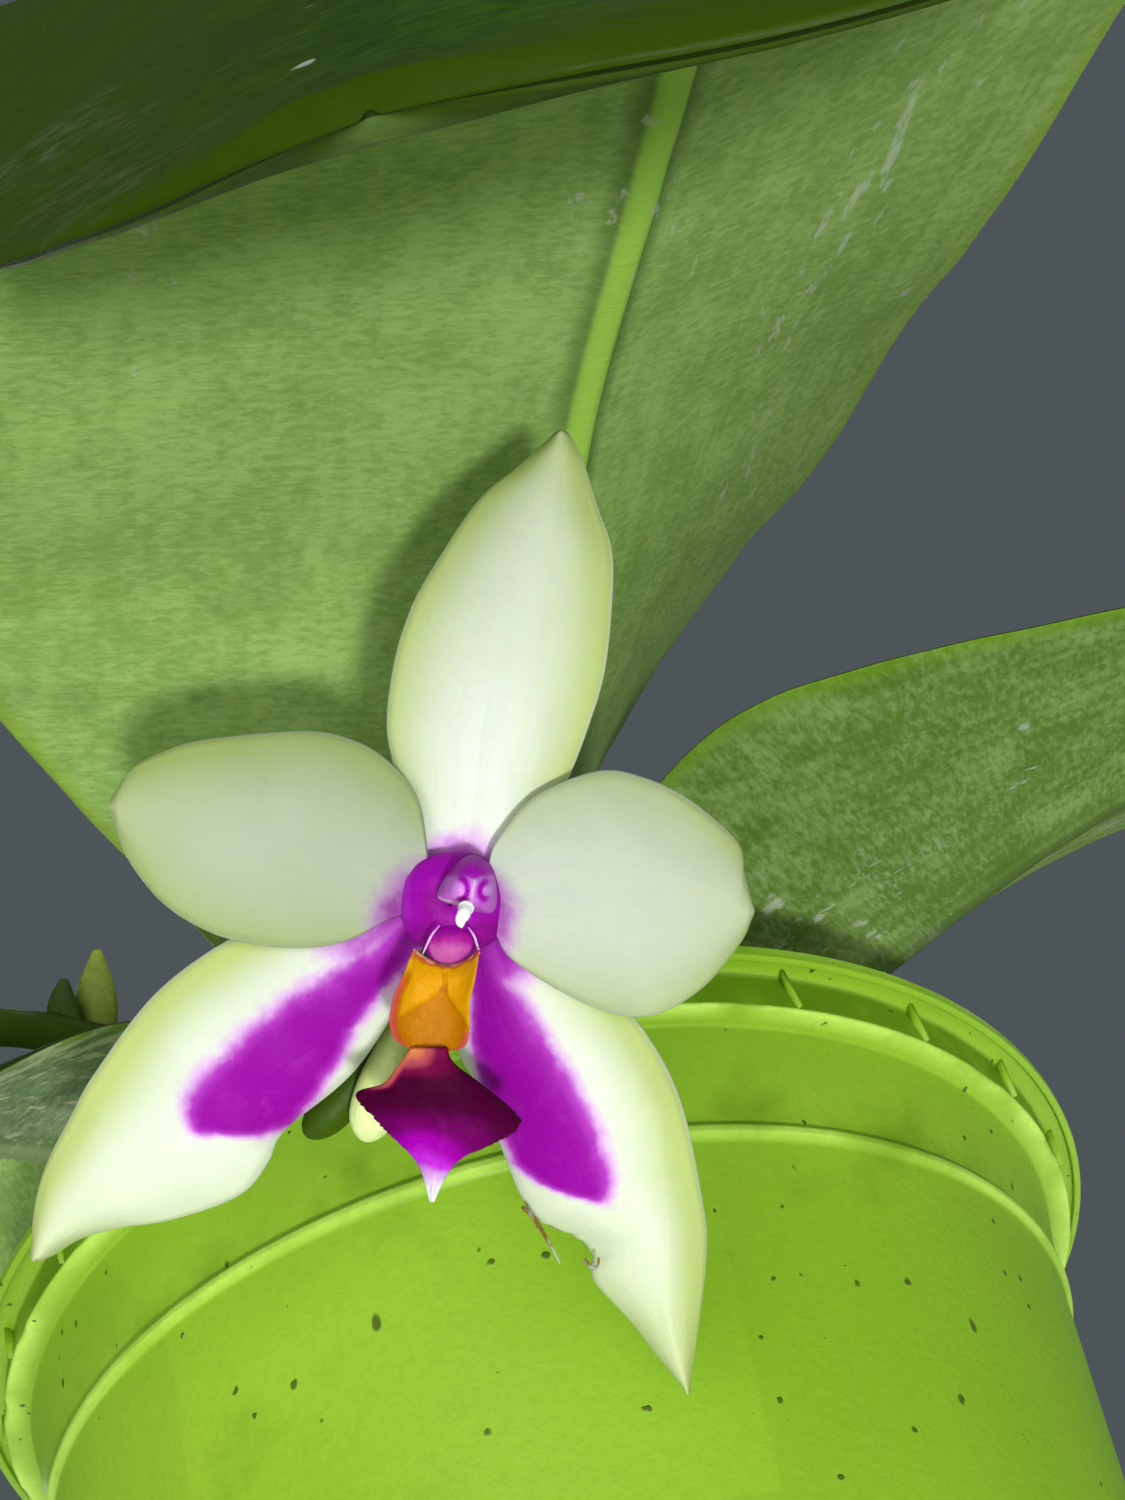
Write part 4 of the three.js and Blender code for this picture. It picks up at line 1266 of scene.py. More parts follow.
@dataclass
class Tepal:
    """A sepal or petal between its left and right edges, as seen from in front from base to tip."""

    name: str
    edges: tuple[tuple[Spot, ...], tuple[Spot, ...]]
    form: tuple[float, float, float, float]
    green: tuple[float, float, float, float]
    flush: tuple[float, float, float, float, float]
    # Painted shade: its level, its rise across to the right and its rise towards the tip.
    dim: Point
    blotch: Blotch | None = None
    ragged: Spot | None = None
    threads: tuple[tuple[Point, ...], ...] = ()
    thickness: float = 0.9
    rows: int = 120
    columns: int = 72

    def nibbles(self, s: Array) -> Array:
        """Gives how far the right edge is torn back.

        Args:
            s: Shares of the length.

        Returns:
            The depths of the bites, 0 where the edge is whole.
        """
        if not self.ragged:
            return 0.0 * s
        low, high = self.ragged
        bite = 0.5 * np.sin(61 * s) * np.sin(23 * s + 1) + 0.45 * np.sin(97 * s + 2) + 0.35 * np.sin(190 * s)
        return 0.17 * np.maximum(bite, -0.2) * smooth((s - low) / 0.05) * smooth((high - s) / 0.05)

    def heights(self, s: Array, t: Array, plan: Array) -> Array:
        """Gives the height, which falls with the squares of t and s, less a shallow furrow.

        Args:
            s: Shares of the length.
            t: Shares of the half width from -1 to 1.
            plan: Places in the flower's plane.

        Returns:
            The heights in front of the flower's plane.
        """
        spread = np.concatenate([plan, 0 * plan[..., :1]], axis=-1)
        level, edge_drop, edge_from, tip_drop = self.form
        height = level - edge_drop * smooth(s / edge_from) * t**2 - tip_drop * s**2
        furrow = 0.09 * bell(t, 0.12) * smooth(s / 0.1) * smooth((0.8 - s) / 0.5)
        waves = 0.07 * ripple(spread, 5, 21) + 0.1 * smooth(np.abs(t)) * ripple(spread, 7, 22)
        return height - furrow + waves

    def values(self, s: Array, t: Array, plan: Array, torn: Array) -> dict[str, Array]:
        """Gives the values that the finish reads.

        Args:
            s: Shares of the length.
            t: Shares of the half width from -1 to 1.
            plan: Places in the flower's plane.
            torn: How far the right edge is torn back.

        Returns:
            Greenness, painted shade, flush of purple, browning, and the shares themselves.
        """
        px, py = plan[..., 0], plan[..., 1]
        base, from_left, from_right, tip = self.green
        green = base + from_left * np.clip(-t, 0, 1) ** 2 + from_right * np.clip(t, 0, 1) ** 2 + tip * s**3
        level, rising, outer = self.dim
        fx, fy, full, none, strength = self.flush
        blush = strength * smooth((none - np.hypot(px - fx, py - fy)) / (none - full))
        if self.blotch:
            blush = np.maximum(blush, self.blotch.mask(px, py))
        frayed = smooth((t - 0.93) / 0.07) * (np.abs(torn) > 0.02)
        return {
            "green": green * smooth(s / 0.25 + 0.1),
            # Painted shade from the level, rising across to the right and towards the tip.
            "dim": np.clip(level + rising * t + outer * s, 0, 1),
            "blush": blush,
            "brown": np.maximum(0.7 * smooth((s - 0.985) / 0.015), frayed),
            "share": np.stack([t + 0 * s, s + 0 * t, 0 * s * t], axis=-1),
        }

    def thread(self, points: tuple[Point, ...], plane: FlowerPlane) -> Patch:
        """Gives a thin withered thread of the torn margin.

        Args:
            points: Its points.
            plane: Frame of the flower.

        Returns:
            The closed thread.
        """
        strand = plane.stalk(Stalk(points, (0.16, 0.13, 0.06), facing=(0.2, 1.0, 0.1), rows=24, sides=8))
        none = 0 * strand.values["tone"]
        # The threads are fully in painted shade and browned.
        strand.values = {"green": none, "dim": none + 1, "blush": none, "brown": none + 1,
                         "share": np.zeros((len(none), 3))}
        return strand

    def build(self, plane: FlowerPlane, material: bpy.types.Material) -> None:
        """Builds the sheet and dresses it.

        A row of points joins the two edges at the same share s of their lengths, and is drawn in where the
        margin is torn. The sheet thins out to its margins and its tip.

        Args:
            plane: Frame of the flower.
            material: Finish of the sheet.
        """
        s = np.linspace(0, 1, self.rows + 1)[:, None]
        x = np.linspace(-1, 1, self.columns + 1)[None]
        t = np.sin(np.pi / 2 * x) * 0.5 + x * 0.5
        torn = self.nibbles(s)
        plan = strip(self.edges, s, (t + 1) / 2 - 0.12 * torn * smooth((t - 0.5) / 0.5))
        half = self.thickness / 2 * rim(t, 0.9, 0.94) * (0.35 + 0.65 * smooth((1 - s) / 0.06))
        patches = [plane.sheet(plan, self.heights(s, t, plan), half, self.values(s, t, plan, torn)),
                   *(self.thread(points, plane) for points in self.threads)]
        make_piece("white_" + self.name, patches, self.name, material)


@dataclass
class Dome:
    """A closed dome over an outline in the flower's plane, with a finely shaped front."""

    outline: tuple[Spot, ...]
    centre: Spot
    foot: float
    rise: float
    rows: int = 48
    sides: int = 96
    steepness: float = 0.5

    def patch(self, plane: FlowerPlane, front: Callable[[Array, Array], tuple[Array, Array]]) -> Patch:
        """Builds the dome.

        Rings of the outline's own shape shrink towards the centre, and their height follows a rounded profile
        from the foot at the outline to the full rise at the centre.

        Args:
            plane: Frame of the flower.
            front: Gives the extra height and the tone at places of the flower's plane.

        Returns:
            The closed dome.
        """
        edge = loop_points(self.outline, np.arange(self.sides) / self.sides)
        share = np.sin(np.pi / 2 * np.linspace(0.01, 1, self.rows))[:, None, None]
        plan = np.array(self.centre) + share * (edge - np.array(self.centre))
        relief, tone = front(plan[..., 0], plan[..., 1])
        height = self.foot + (self.rise + relief) * (1 - share[..., 0] ** 2.4 + 1e-9) ** self.steepness
        return closed_tube(plane.place(np.concatenate([plan, height[..., None]], axis=-1)), {"tone": tone})


@dataclass
class Lip:
    """The lip's yellow base with its rims and crease, and its purple front lobe."""

    plane: FlowerPlane
    base_edges: tuple[tuple[Spot, ...], tuple[Spot, ...]] = (
        ((-1.7, -2.3), (-2.3, -3.9), (-2.9, -5.2), (-3.1, -6.8), (-2.7, -7.9), (-1.5, -8.8)),
        ((2.5, -2.3), (2.2, -4.3), (1.9, -5.6), (1.9, -7.2), (1.6, -8.3), (0.2, -8.8)),
    )
    lobe_edges: tuple[tuple[Spot, ...], tuple[Spot, ...]] = (
        ((0.5, -8.4), (0.9, -9.3), (2.6, -10.7), (5.1, -13.1), (3.4, -14.4), (1.7, -15), (0.7, -15.9),
            (-0.1, -17.4)),
        ((-1.8, -8.4), (-2.6, -9.5), (-3.6, -10.7), (-5.3, -11.4), (-4.1, -12.9), (-2.8, -14.1),
            (-1.3, -15.4), (-0.4, -17.4)),
    )

    def callus(self) -> None:
        """Builds the base: two bright upper faces with a crease between them, darkened as painted shade, over
        a darker lower face.
        """
        s, t = np.linspace(0, 1, 91)[:, None], np.linspace(-1, 1, 81)[None]
        plan = strip(self.base_edges, s, (t + 1) / 2)
        plan[..., 1] -= 1.25 * (1 - t**2) * (1 - s) ** 5
        x, y = plan[..., 0], plan[..., 1]
        off = np.abs(t)
        ledge = -5.0 + np.where(x < 0.17, 0.58 * (x - 0.17), -1.2 * (x - 0.17))
        lower = smooth((ledge - y) / 0.8 + 0.5)
        crease = bell(x - 0.25, 0.15) * (1 - lower) * smooth((-3.6 - y) / 0.5)
        flank = smooth((off - 0.7) / 0.2) * smooth((s - np.where(t < 0, 0.12, 0.55)) / 0.2)
        rims = 1.3 * off**3 * (1 - 0.9 * smooth((s - 0.75) / 0.25)) + 0.25 * flank * (1 - off)
        faces = 0.3 * (1 - lower) * smooth(s / 0.25) - 0.14 * crease
        height = 3.3 + 1.7 * s + rims + faces + 0.05 * ripple(plan, 1.5, 31)
        half = 0.42 * rim(t, 0.85, 0.9) * rim(1 - s, 0.96, 0.9)
        pale = smooth((0.1 - s) / 0.1 + 0.3 * ripple(plan, 0.9, 33))
        # The crease is darkened as painted shade.
        tone = 0.26 * lower + 0.16 * crease + 0.1 * lower * off
        for other in (0.74 * flank, 0.95 * pale, 0.7 * smooth((s - 0.93) / 0.06)):
            tone = np.maximum(tone, other)
        tone = tone + 0.35 * bell(np.hypot(x - 0.2, y + 4.9), 0.22)
        skin = SkinFinish("callus_skin", (
            (0.0, 206, 148, 0), (0.3, 178, 114, 0), (0.55, 186, 92, 22), (0.78, 180, 72, 70),
            (1.0, 226, 176, 134)), Surface(0.5, 0.15, 0.1, subsurface_scale=0.0008), 0.18, 500,
            paint(160, 80, 10), 0.04)
        skin.dress("yellow_callus", "lip_callus", [self.plane.sheet(plan, height, half, {"tone": tone})])

    def midlobe(self) -> None:
        """Builds the front lobe: an anchor-shaped, finely fringed sheet with a pale flange and beak."""
        s, t = np.linspace(0, 1, 141)[:, None], np.linspace(-1, 1, 81)[None]
        teeth = np.sin(170 * s + 3 * np.sin(31 * s)) * np.where(t < 0, 1, 0.8) + 0.5 * np.sin(263 * s)
        fringed = smooth((s - 0.4) / 0.06) * smooth((0.82 - s) / 0.06) * smooth((np.abs(t) - 0.75) / 0.25)
        plan = strip(self.lobe_edges, s, (t + 1) / 2 + 0.009 * teeth * fringed * t)
        x, y = plan[..., 0], plan[..., 1]
        height = (6.2 + 1.4 * s - 1.5 * np.abs(t) ** 1.6 * np.sin(np.pi * s) + 0.12 * bell(t, 0.3) * s
                  + 0.08 * ripple(plan, 2.6, 32) - 0.5 * smooth((0.12 - s) / 0.12))
        half = 0.45 * rim(t, 0.8, 0.96)
        flange = smooth((t - 0.7) / 0.28) * smooth((0.36 - s) / 0.12)
        vivid = smooth((-11 - y) / 4) * bell(x + 0.9, 3.8)
        neck = smooth((0.2 - s) / 0.2) * (0.3 + 0.7 * smooth((t + 0.7) / 1.3))
        tone = (0.3 + 0.44 * vivid - 0.27 * neck) * (1 - 0.8 * flange)
        tone = tone + (1 - tone) * smooth((-14.4 - y) / 2.6)
        skin = SkinFinish("lobe_skin", (
            (0.0, 216, 130, 74), (0.12, 176, 76, 84), (0.22, 112, 8, 62), (0.3, 64, 0, 38), (0.5, 106, 0, 92),
            (0.66, 158, 0, 168), (0.78, 190, 44, 212), (0.9, 214, 168, 230), (1.0, 232, 226, 234)),
            Surface(0.6, 0.1, 0.03, subsurface_scale=0.0008), 0.08, 700, paint(60, 0, 60))
        skin.dress("purple_midlobe", "lip_midlobe", [self.plane.sheet(plan, height, half, {"tone": tone})])

    def build(self) -> None:
        """Builds both pieces of the lip."""
        self.callus()
        self.midlobe()


@dataclass
class Column:
    """The column with its broad base, hood, pads and throat, and the pale hooked beak in front of it."""

    plane: FlowerPlane
    pads: tuple[Spot, ...] = ((1.3, 1.6), (2.95, 1.45))
    level: Point = (1.0, 0.2, 0.0)

    def base_front(self, x: Array, y: Array) -> tuple[Array, Array]:
        """Gives the base's extra height and tone: darker below and beside the hood's lower left as painted
        shade, lighter towards its left side.
        """
        # Painted shade cast by the hood, below it and at its lower left.
        shade = 0.14 * smooth((-y - 0.3) / 1.2) + 0.14 * bell(np.hypot(x + 0.4, y - 0.4), 1.2)
        return 0.12 * ripple(np.stack([x, y], axis=-1), 2.5, 41), 0.34 + 0.18 * smooth((-1.2 - x) / 2) - shade

    def hood_front(self, x: Array, y: Array) -> tuple[Array, Array]:
        """Gives the hood's extra height and tone.

        The upper part is violet, with a painted highlight along a curved fold. Below it the face is lilac,
        with two pads ringed by grooves that carry painted shade on the sides facing each other, and a ridge
        between them and a lower lip with painted highlights.

        Args:
            x: Places to the right.
            y: Places up.

        Returns:
            The extra heights and the tones.
        """
        fold = 2.4 - 0.1 * (x - 1.9) ** 2 - 0.25 * bell(np.hypot(x - 2.2, y - 2.4), 0.35)
        face = smooth((fold - y) / 0.2 + 0.5)
        height = 0.2 * face
        # Painted highlight in a thin line just above the fold.
        tone = 0.4 + 0.2 * face + 0.14 * bell(y - fold - 0.05, 0.1)
        for (px, py), reach, side in zip(self.pads, (0.42, 0.32), (1, -1)):
            off = np.hypot((x - px) * 1.1, (y - py) * 0.82)
            # Painted shade in the groove on the side of each pad that faces the other.
            ring = bell(off - 1.3 * reach, 0.15) * smooth(side * (x - px) / 0.5 + 0.6)
            height = height + 0.1 * bell(off, reach) - 0.06 * ring
            tone = tone + 0.16 * bell(off, reach) - 0.34 * ring
        # Painted highlights on the ridge between the pads and on the lower lip.
        ridge = bell(x - 2.05 - 0.2 * (y - 1), 0.14) * face * smooth((y - 0.2) / 0.6)
        lip = bell(y - 0.85 + 0.22 * x, 0.12) * smooth((2.4 - x) / 0.5)
        return height + 0.1 * ridge + 0.08 * lip, np.clip(tone + 0.16 * ridge + 0.3 * lip, 0, 1)

    def throat_front(self, x: Array, y: Array) -> tuple[Array, Array]:
        """Gives the throat's extra height and tone: pinkish, paler at the lower left, dark round its edge.

        Args:
            x: Places to the right.
            y: Places up.

        Returns:
            The extra heights and the tones.
        """
        off = np.hypot((x - 0.5) / 1.7, (y + 2.35) / 1.6)
        pink = smooth((-1.1 - y) / 1.5) * (0.7 + 0.3 * bell(np.hypot(x + 0.1, y + 2.8), 1))
        return 0 * x, 0.2 - 0.2 * pink * (1 - smooth((off - 0.74) / 0.22))

    def domes(self) -> list[Patch]:
        """Gives the base, the hood and the throat.

        Returns:
            The three closed domes.
        """
        base = Dome((
            (-1.3, 3.2), (0.9, 3.6), (2.8, 3.1), (3.6, 1.4), (3.7, -0.7), (3.1, -2.4), (0.5, -3.2),
            (-1.7, -2.6), (-2.7, -1.2), (-2.9, 0.4), (-2.5, 2)), (0.5, 0.3), 1.15, 1.85, steepness=0.8)
        hood = Dome((
            (-0.3, 0.8), (-0.1, 1.6), (0.5, 2.5), (1.3, 3.3), (2.2, 3.5), (3, 2.9), (3.4, 1.9), (3.5, 0.7),
            (3.3, -0.1), (2.8, -0.2), (1.8, 0), (0.7, 0.3)), (1.8, 1.5), 2.8, 3.2)
        throat = Dome((
            (0.5, -0.8), (1.7, -1.3), (2.3, -2.4), (1.7, -3.5), (0.5, -3.9), (-0.7, -3.5), (-1.3, -2.4),
            (-0.7, -1.3)), (0.5, -2.3), 2.1, 1.2, 30, 60)
        fronts = (self.base_front, self.hood_front, self.throat_front)
        return [dome.patch(self.plane, front) for dome, front in zip((base, hood, throat), fronts)]

    def wing(self, *points: Point) -> Patch:
        """Gives a thin pale wing at the side of the throat."""
        return self.plane.stalk(Stalk(points, (0.04, 0.08, 0.07, 0.04), facing=self.level, tones=(0.7, 1.0),
                                      rows=40, sides=12))

    def build(self) -> None:
        """Builds the column and its beak."""
        wings = [self.wing((-0.1, -0.9, 4), (-0.6, -1.5, 4.1), (-1, -2.3, 3.8), (-1.3, -2.9, 3.4)),
                 self.wing((1.7, -1, 4), (2.1, -1.6, 4.1), (2.3, -2.3, 3.8), (2.4, -2.8, 3.4))]
        skin = SkinFinish("column_skin", (
            (0.0, 184, 88, 160), (0.12, 158, 16, 138), (0.2, 132, 0, 132), (0.36, 154, 0, 166),
            (0.5, 168, 40, 186), (0.7, 206, 132, 222), (0.85, 226, 184, 234), (1.0, 240, 210, 222)),
            Surface(0.5, 0.15, 0.12, subsurface_scale=0.0008), 0.14, 700, paint(110, 0, 120))
        skin.dress("purple_column", "column", [*self.domes(), *wings])
        beak = Stalk(((1.78, 0.6, 6.9), (1.72, 0.3, 7.6), (1.5, -0.15, 7.9), (1.55, -0.65, 7.7)),
                     (0.72, 0.4, 0.42, 0.32, 0.1), facing=self.level, ends=(0.2, 0.15), tones=(0.8, 1.0),
                     rows=60)
        skin = SkinFinish("cap_skin", ((0.0, 206, 164, 222), (1.0, 252, 248, 252)),
                          Surface(0.3, 0.2, coat=0.2), 0.2, 900, paint(210, 180, 220))
        skin.dress("pale_beak", "anther_cap", [self.plane.stalk(beak)])


# Plant


def leaves() -> list[Leaf]:
    """Gives the plant's leaves, the largest and nearest first.

    Returns:
        The leaves.
    """
    green = LeafFinish("leaf_green")
    dusty = LeafFinish("leaf_dusty", under=paint(86, 120, 44), under_pale=paint(130, 158, 90), midrib=paint(
        70, 92, 44), margin=paint(104, 142, 18), scars=0.26, dust=0.7, film=0.5)
    old = LeafFinish("leaf_old_skin", under=paint(96, 122, 82), under_pale=paint(134, 154, 116), midrib=paint(
        120, 140, 92), margin=paint(120, 160, 50), scar=paint(196, 198, 166), scars=0.62, dust=0.6, film=0.5)
    upright, flat, dip = (55, 38, 24, 16), (0, -1, -1, -1), (0, -2, -3, -3)
    return [
        Leaf("leaf_front", (
            (-3, -10.9, 121), (-1.3, -36.4, 124.7), (10.2, -74.2, 130.4), (16.5, -97.1, 130.5),
            (22.5, -119.6, 123.4), (23.2, -135.2, 108.6), (17.6, -141.9, 90.1), (1.6, -143.7, 54.8)),
            170, (-22, -27, -14, 2, 0), 0.19, 0.41, (49.9, 52.2),
            ((45, 32, 14, 4, -4), (43, 22, 11, 11, -4)),
            ((-2.7, 1, -3.9, -3.9, -2.5), (0, -1, -2.7, -3.3, -4)),
            green, rows=230, columns=150),
        Leaf("leaf_right", (
            (11, -4.5, 114), (26, -17.4, 122.3), (43.6, -29.5, 127.6), (73.4, -42.8, 131.4),
            (105.6, -49.4, 130.8), (138.8, -51, 127.7)),
            -105, (-2, -17, -23, -21), 0.21, 0.37, (43.8, 43.8),
            ((47, 24, 15, 9), (47, 12, -2, -6)), ((0.5, -3.2, -2.6, -3.9), (0.5, 1.3, -5.7, -3.9)), dusty),
        Leaf("leaf_left_old", (
            (-10, -6, 108), (-26.1, -25.7, 116.5), (-46.2, -44.1, 116.8), (-75.2, -62.7, 101),
            (-117.4, -84.5, 74.5)),
            150, (6, 13, 16, 5), 0.28, 0.52, (27.2, 25.8),
            ((39, 12, -2, -3), (46, 26, 12, 1)), (dip, dip), old, "leaf_old"),
        even_leaf("leaf_back", ((2.5, 10.5, 122), (7, 45, 150), (9, 92, 156), (10, 140, 138), (9, 172, 106)),
                  174, 43, green),
        even_leaf("leaf_back_left", (
            (-10.5, 4.5, 117), (-46, 16, 138), (-92, 27, 141), (-134, 35, 120), (-160, 40, 90)),
            75, 40, green),
        Leaf("leaf_young", ((1.5, 1.5, 133.5), (3, 5, 148), (8, 18, 170), (17, 38, 188)),
             150, (0, 0), 0.4, 0.5, (16, 16), (upright, upright), (flat, flat), green, rows=90, columns=60),
    ]


def tepals() -> list[Tepal]:
    """Gives the flower's three sepals, then the two petals in front of them.

    Returns:
        The sepals and petals.
    """
    left_blotch = Blotch((0, 0), (-0.72, -0.69), (
        (2, -1, 1.4), (7.5, -1.4, 1.8), (10.1, -1.8, 2.3), (12.8, -2.7, 2.8), (15.4, -3.3, 3),
        (18.3, -3.8, 3), (20.3, -2.6, 2.9), (22, -0.6, 2.5), (23.6, 0.6, 1.2)), (2.2, 3.8), 4)
    right_blotch = Blotch((2.3, -3), (0.36, -0.93), (
        (0, -0.95, 1), (2.2, -0.8, 1.6), (5.2, -1.5, 2.9), (8.3, -2.2, 3.5), (11.6, -2.6, 3.6),
        (14.6, -2.9, 3.4), (16.5, -2.7, 2.2), (18.3, -2.3, -0.2), (19.2, -2, -1.2)), (3.2, 1.8), 3)
    threads = (((5, -20.4, -1), (5.9, -21.3, -0.9), (6.9, -23, -1.1), (7.6, -24.3, -1)),
               ((9.2, -24, -1.2), (9.6, -24.5, -1.1), (10.1, -24.5, -1.1), (10.2, -23.9, -1.2)))
    sepal, petal = (-0.9, 1.8, 0.3, 1.5), (0.9, 1.3, 0.5, 1.2)
    return [
        Tepal("sepal_dorsal", (
            ((-1.6, 1.2), (-2.9, 5.2), (-3.8, 9.1), (-4.3, 11.9), (-4, 15.3), (-3.2, 18.6), (-1.7, 22),
                (1.8, 27.4), (4.6, 29.9), (7, 32.1)),
            ((3.4, 1.2), (6.4, 4.8), (8.3, 8.7), (9.7, 12.4), (10.7, 16), (11.2, 21.1), (11.1, 24.3),
                (10.1, 27.3), (9.2, 30.3), (8.3, 32.1)),
        ), sepal, (0.12, 0.75, 0.85, 0.65), (0.7, 0.8, 2.4, 5.7, 0.6), (0.15, 0, 0.2)),
        Tepal("sepal_left", (
            ((-0.4, -1.6), (-2.5, -4.3), (-3.8, -7.7), (-6.8, -12), (-11.3, -15.8), (-12.4, -17.9),
                (-13.9, -19.9), (-16.3, -21.2), (-19.6, -22.2), (-22.7, -22.7), (-25.5, -23.5),
                (-27.4, -24.7)),
            ((-2.7, 0.5), (-8.6, 0.1), (-14.8, -2.5), (-20.1, -6.3), (-24.3, -11.7), (-26.1, -14.8),
                (-27.6, -17.6), (-28.6, -20.4), (-29.1, -24.4)),
        ), sepal, (0.08, 0.2, 1.2, 0.55), (-3.4, -1, 2.4, 8.2, 0.62), (0.42, 0, -0.1), left_blotch, rows=170,
              columns=110),
        Tepal("sepal_right", (
            ((3.9, -0.3), (8.6, -4), (12.6, -7.9), (15.7, -13.3), (17.4, -20.7), (17.7, -24.2),
                (17.2, -29.3), (16.6, -33.7)),
            ((1, -1.8), (0.5, -9.5), (2, -12.9), (3.5, -16.9), (5.4, -21.4), (6.9, -22.4), (9.4, -23.8),
                (9.8, -26), (10.6, -27.2), (12.6, -29.4), (14.5, -31.9), (16, -33.6)),
        ), sepal, (0.14, 1.1, 0.2, 0.65), (1, -1, 3.6, 8, 0.8), (0.3, 0, 0.05), right_blotch, (0.5, 0.74),
              threads, rows=190, columns=110),
        Tepal("petal_left", (
            ((-1.2, -0.6), (-3.1, -0.7), (-6.4, -2.3), (-9.1, -2.9), (-12.3, -2.8), (-15.7, -2), (-19.1, 0),
                (-21.5, 2.9), (-22.5, 5.6)),
            ((-1, 1.4), (-1.1, 3), (-1.8, 7), (-3.8, 9.5), (-6.3, 11), (-9.7, 11.6), (-16.5, 11),
                (-19.7, 10), (-21.4, 9), (-22.5, 7.5)),
        ), petal, (0.26, 0.4, 0.6, 0.45), (-0.8, -1.2, 2.4, 5.9, 0.62), (1, 0.05, -0.15)),
        Tepal("petal_right", (
            ((3, 1.4), (2.9, 3), (3.6, 4.7), (6, 7.3), (10.1, 8.9), (13.1, 8.5), (16.2, 7), (19.5, 4.2),
                (20, 2.2), (20.5, 0.2)),
            ((3, -0.9), (3.3, -1.7), (4.1, -3.3), (6.5, -5.1), (9.6, -6.8), (12.3, -7.6), (14.7, -7.2),
                (17.3, -5.6), (19.7, -2.8), (20.6, -1)),
        ), petal, (0.1, 0.5, 0.45, 0.5), (1, -1, 2.7, 5.1, 0.6), (0.72, 0, 0.05)),
    ]


def stalks() -> list[Stalks]:
    """Gives the stem, the roots, the two flower spikes, the flower's own stalk and the bud.

    Returns:
        The pieces that are made of stalks.
    """
    stem = SkinFinish("stem_skin", (
        (0.0, 98, 92, 52), (0.4, 92, 116, 48), (1.0, 120, 152, 66)), Surface(0.6), specks=0.1)
    root = SkinFinish("root_skin", (
        (0.0, 112, 122, 84), (0.5, 158, 168, 142), (1.0, 186, 190, 172)), Surface(0.82), 0.7, 180,
        specks=0.12, depth=0.0003)
    spike = SkinFinish("spike_skin", (
        (0.0, 58, 88, 4), (0.3, 44, 72, 6), (0.6, 84, 104, 14), (1.0, 140, 160, 60)),
        Surface(0.5, 0.1, 0.15), speck=paint(70, 40, 16), specks=0.08)
    pedicel = SkinFinish("pedicel_skin", (
        (0.0, 150, 170, 100), (1.0, 196, 214, 150)), Surface(0.45, 0.2, coat=0.05), speck=paint(120, 130, 80))
    bud = SkinFinish("bud_skin", (
        (0.0, 176, 194, 108), (0.5, 186, 202, 126), (1.0, 224, 236, 172)), Surface(0.45, 0.25, 0.25),
        speck=paint(140, 150, 80))
    return [
        Stalks("short_stem", "stem", stem, (
            Stalk(((0, 0, 78), (0, 0, 104.7), (0, 0, 131.4)), (7.5, 7.5, 7.5, 7.1, 6, 4.1), facing=(1, 0, 0),
                  knots=((0.5, 0.02, -0.06), (0.62, 0.02, -0.07), (0.74, 0.02, -0.07), (0.86, 0.02, -0.06)),
                  tones=(0, 0.2, 0.6, 1), lumps=0.04, sides=48),
        )),
        *(Stalks(f"air_root_{index + 1}", f"root_{index + 1}", root, (
            Stalk(root_points(angle, index), (2.3, 2.3, 2.2, 2.1, 1.85), tones=(0.4, 0.6, 0.9, 0.5),
                  lumps=0.07),
        )) for index, angle in enumerate((25, 112, 182, 305))),
        Stalks("blooming_spike", "flower_spike", spike, (
            Stalk((
                (0, -8.3, 113.5), (0, -40, 117.5), (-1, -62, 116.5), (-3, -71, 108), (-5.2, -72.9, 98.5),
                (-8.5, -70.6, 93.5), (-11.3, -69.1, 91.3), (-14.6, -67.4, 89.8)),
                (2.3, 2.1, 2.1, 1.9, 1.8, 1.6, 1.7, 1.5), facing=(1, 0.1, 0),
                knots=((0.3, 0.015, 0.12), (0.68, 0.015, 0.14)), tones=(0.5, 0.3, 0.2, 0.1), lumps=0.03,
                rows=200),
            Stalk(((0, -38, 118.4), (0.6, -43, 120.4), (0.8, -48, 121.2)), (2.2, 1.8, 0.4), 0.4,
                  tones=(0.5, 0.9), rows=30),
            Stalk(((-3, -70.5, 109), (-2.8, -73.6, 111), (-2.6, -76, 111.6)), (2, 1.5, 0.4), 0.4,
                  tones=(0.5, 0.9), rows=30),
        )),
        Stalks("flower_pedicel", "pedicel", pedicel, (
            Stalk(((0.2, -83, 93.9), (0.6, -80, 97.6), (0.4, -76.6, 101.4), (-1.3, -74.4, 104.3)),
                  (1.4, 1.3, 1.2, 1.1), facing=(1, 0, 0), tones=(1, 0.2), lumps=0.04),
        )),
        Stalks("pale_bud", "flower_bud", bud, (
            Stalk(((-6.1, -74.5, 92.3), (-8.1, -71.5, 90.1), (-10.4, -68.1, 87.6)), (0.8, 1.2, 1.6, 1.7, 1.3),
                  facing=(1, 0, 0), ends=(0.1, 0.2), tones=(0, 0.6, 1), lumps=0.03),
        )),
        Stalks("spent_spike", "old_spike", spike, (
            Stalk(((-8.2, -4, 117.5), (-24, -26.5, 122.3), (-40, -45.5, 126), (-53, -55, 122.5)),
                  (2.3, 2.2, 2.4, 1.6), 0.8, knots=((0.72, 0.02, 0.2),), tones=(0.3, 0.1), lumps=0.04,
                  rows=120),
            Stalk(((-38.2, -44.2, 126.4), (-37.6, -47.4, 130), (-36.9, -49.9, 133.3)), (1.8, 2, 0.4), 0.3,
                  (0, 0.7, 0.7), tones=(0.6, 1), rows=40),
            Stalk(((-40.6, -46.6, 126.3), (-40.3, -48.9, 128), (-39.7, -50.6, 129.4)), (1.8, 1.5, 0.4), 0.35,
                  (0, 0.7, 0.7), tones=(0.1, 0.4), rows=40),
        )),
    ]


# Studio


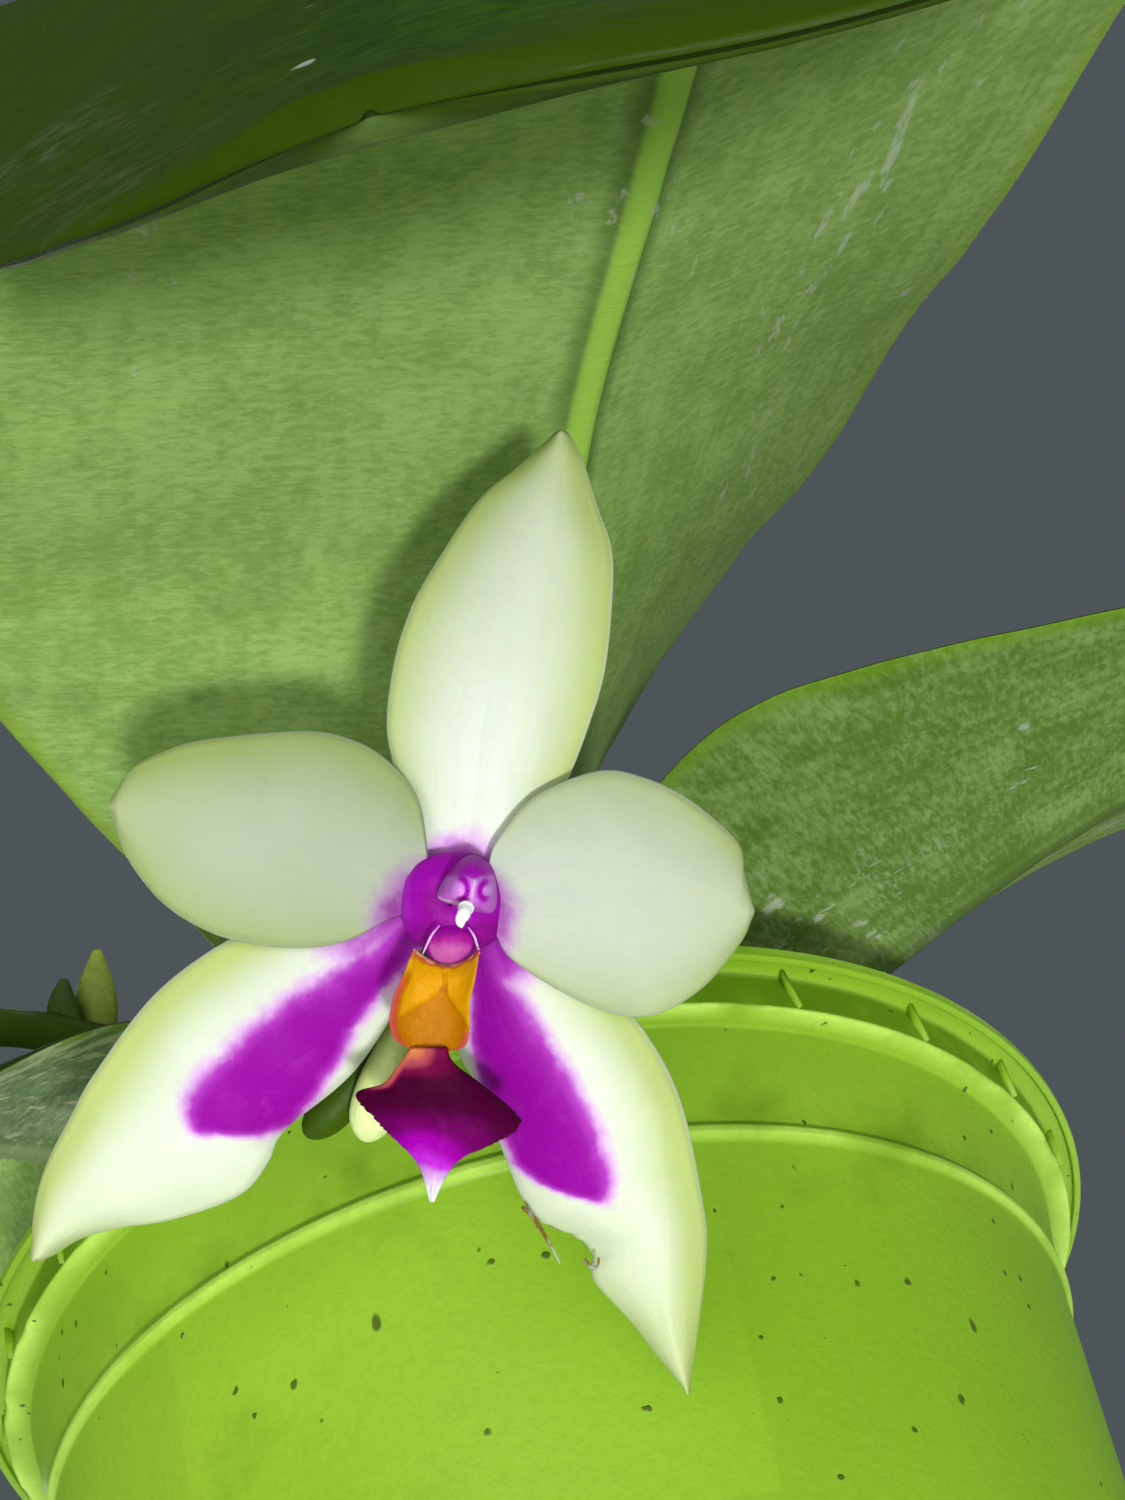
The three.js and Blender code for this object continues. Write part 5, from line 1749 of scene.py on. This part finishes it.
@dataclass
class Studio:
    """The camera, the lights, the plain floor and the plain backdrop colour, in metres."""

    camera_place: Point = (0.0, -0.1531, 0.0191)
    lens: float = 36.0
    sensor: float = 36.0
    near: float = 0.004
    backdrop: Colour = paint(78, 85, 89)
    floor: Colour = paint(226, 226, 222)
    floor_dark: Colour = paint(220, 220, 216)
    floor_reach: float = 3.0
    flower: Point = (0.0, -0.08, 0.1)
    plant: Point = (0.0, 0.0, 0.1)

    def stand(self, data: bpy.types.ID, place: Point, axes: Array) -> bpy.types.Object:
        """Adds a camera or a lamp at a place, turned by its three axes.

        Args:
            data: The camera or the lamp.
            place: Where it stands.
            axes: Its three axes, one a row.

        Returns:
            The new object.
        """
        made = bpy.data.objects.new(data.name, data)
        made.matrix_world = Matrix.Translation(place) @ Matrix(axes.T.tolist()).to_4x4()
        bpy.context.scene.collection.objects.link(made)
        return made

    def camera(self) -> None:
        """Places the camera where the photograph was taken."""
        data = bpy.data.cameras.new("camera")
        data.lens, data.sensor_width, data.sensor_fit = self.lens, self.sensor, "AUTO"
        data.clip_start = self.near
        bpy.context.scene.camera = self.stand(data, self.camera_place, viewer_axes(TO_THE_RIGHT, UPWARD))

    def light(self, name: str, place: Point, aim: Point, size: float, power: float) -> None:
        """Adds a soft square light.

        Args:
            name: Name of the light.
            place: Where it stands.
            aim: Where it points.
            size: Length of its side.
            power: Its power in watts.
        """
        data = bpy.data.lights.new(name, "AREA")
        data.size, data.energy = size, power
        back = unit(np.array(place) - np.array(aim))
        right = np.cross([0.13, 0.99, 0.0], back)
        self.stand(data, place, viewer_axes(right, np.cross(back, right)))

    def ground(self) -> None:
        """Lays the plain floor, which lets the lights below it through."""
        reach = self.floor_reach
        mesh = bpy.data.meshes.new("floor")
        mesh.from_pydata([(-reach, -reach, 0), (reach, -reach, 0), (reach, reach, 0), (-reach, reach, 0)], [],
                         [(0, 1, 2, 3)])
        coat = Coat("floor", Surface(0.9))
        coat.colour = coat.mix(coat.noise(coat.place, 3), self.floor, self.floor_dark)
        mesh.materials.append(coat.finish(coat.noise(coat.place, 400), 0.0001))
        floor = bpy.data.objects.new("floor", mesh)
        floor.visible_shadow = False
        bpy.context.scene.collection.objects.link(floor)

    def build(self) -> None:
        """Sets up the studio."""
        scene = bpy.context.scene
        scene.view_settings.view_transform = "Standard"
        world = bpy.data.worlds.new("backdrop")
        world.use_nodes = True
        world.node_tree.nodes["Background"].inputs["Color"].default_value = self.backdrop
        scene.world = world
        self.camera()
        self.ground()
        self.light("key", (0.036, -0.268, -0.26), self.flower, 0.035, 1.28)
        self.light("fill", (-0.1, -0.62, -0.25), self.flower, 0.6, 4.05)
        self.light("back", (-0.35, 0.85, 0.75), self.plant, 0.8, 11.0)
        self.light("top", (0.5, 0.1, 0.9), self.plant, 0.6, 4.0)


def main() -> None:
    """Builds the scene, piece by piece."""
    logging.basicConfig(level=logging.INFO, format="%(message)s")
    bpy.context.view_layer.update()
    Studio().build()
    Pot().build()
    Bark().build()
    for piece in [*stalks(), *leaves()]:
        piece.build()
    plane = FlowerPlane()
    white = TepalFinish().build()
    for tepal in tepals():
        tepal.build(plane, white)
    Lip(plane).build()
    Column(plane).build()


if __name__ == "__main__":
    main()
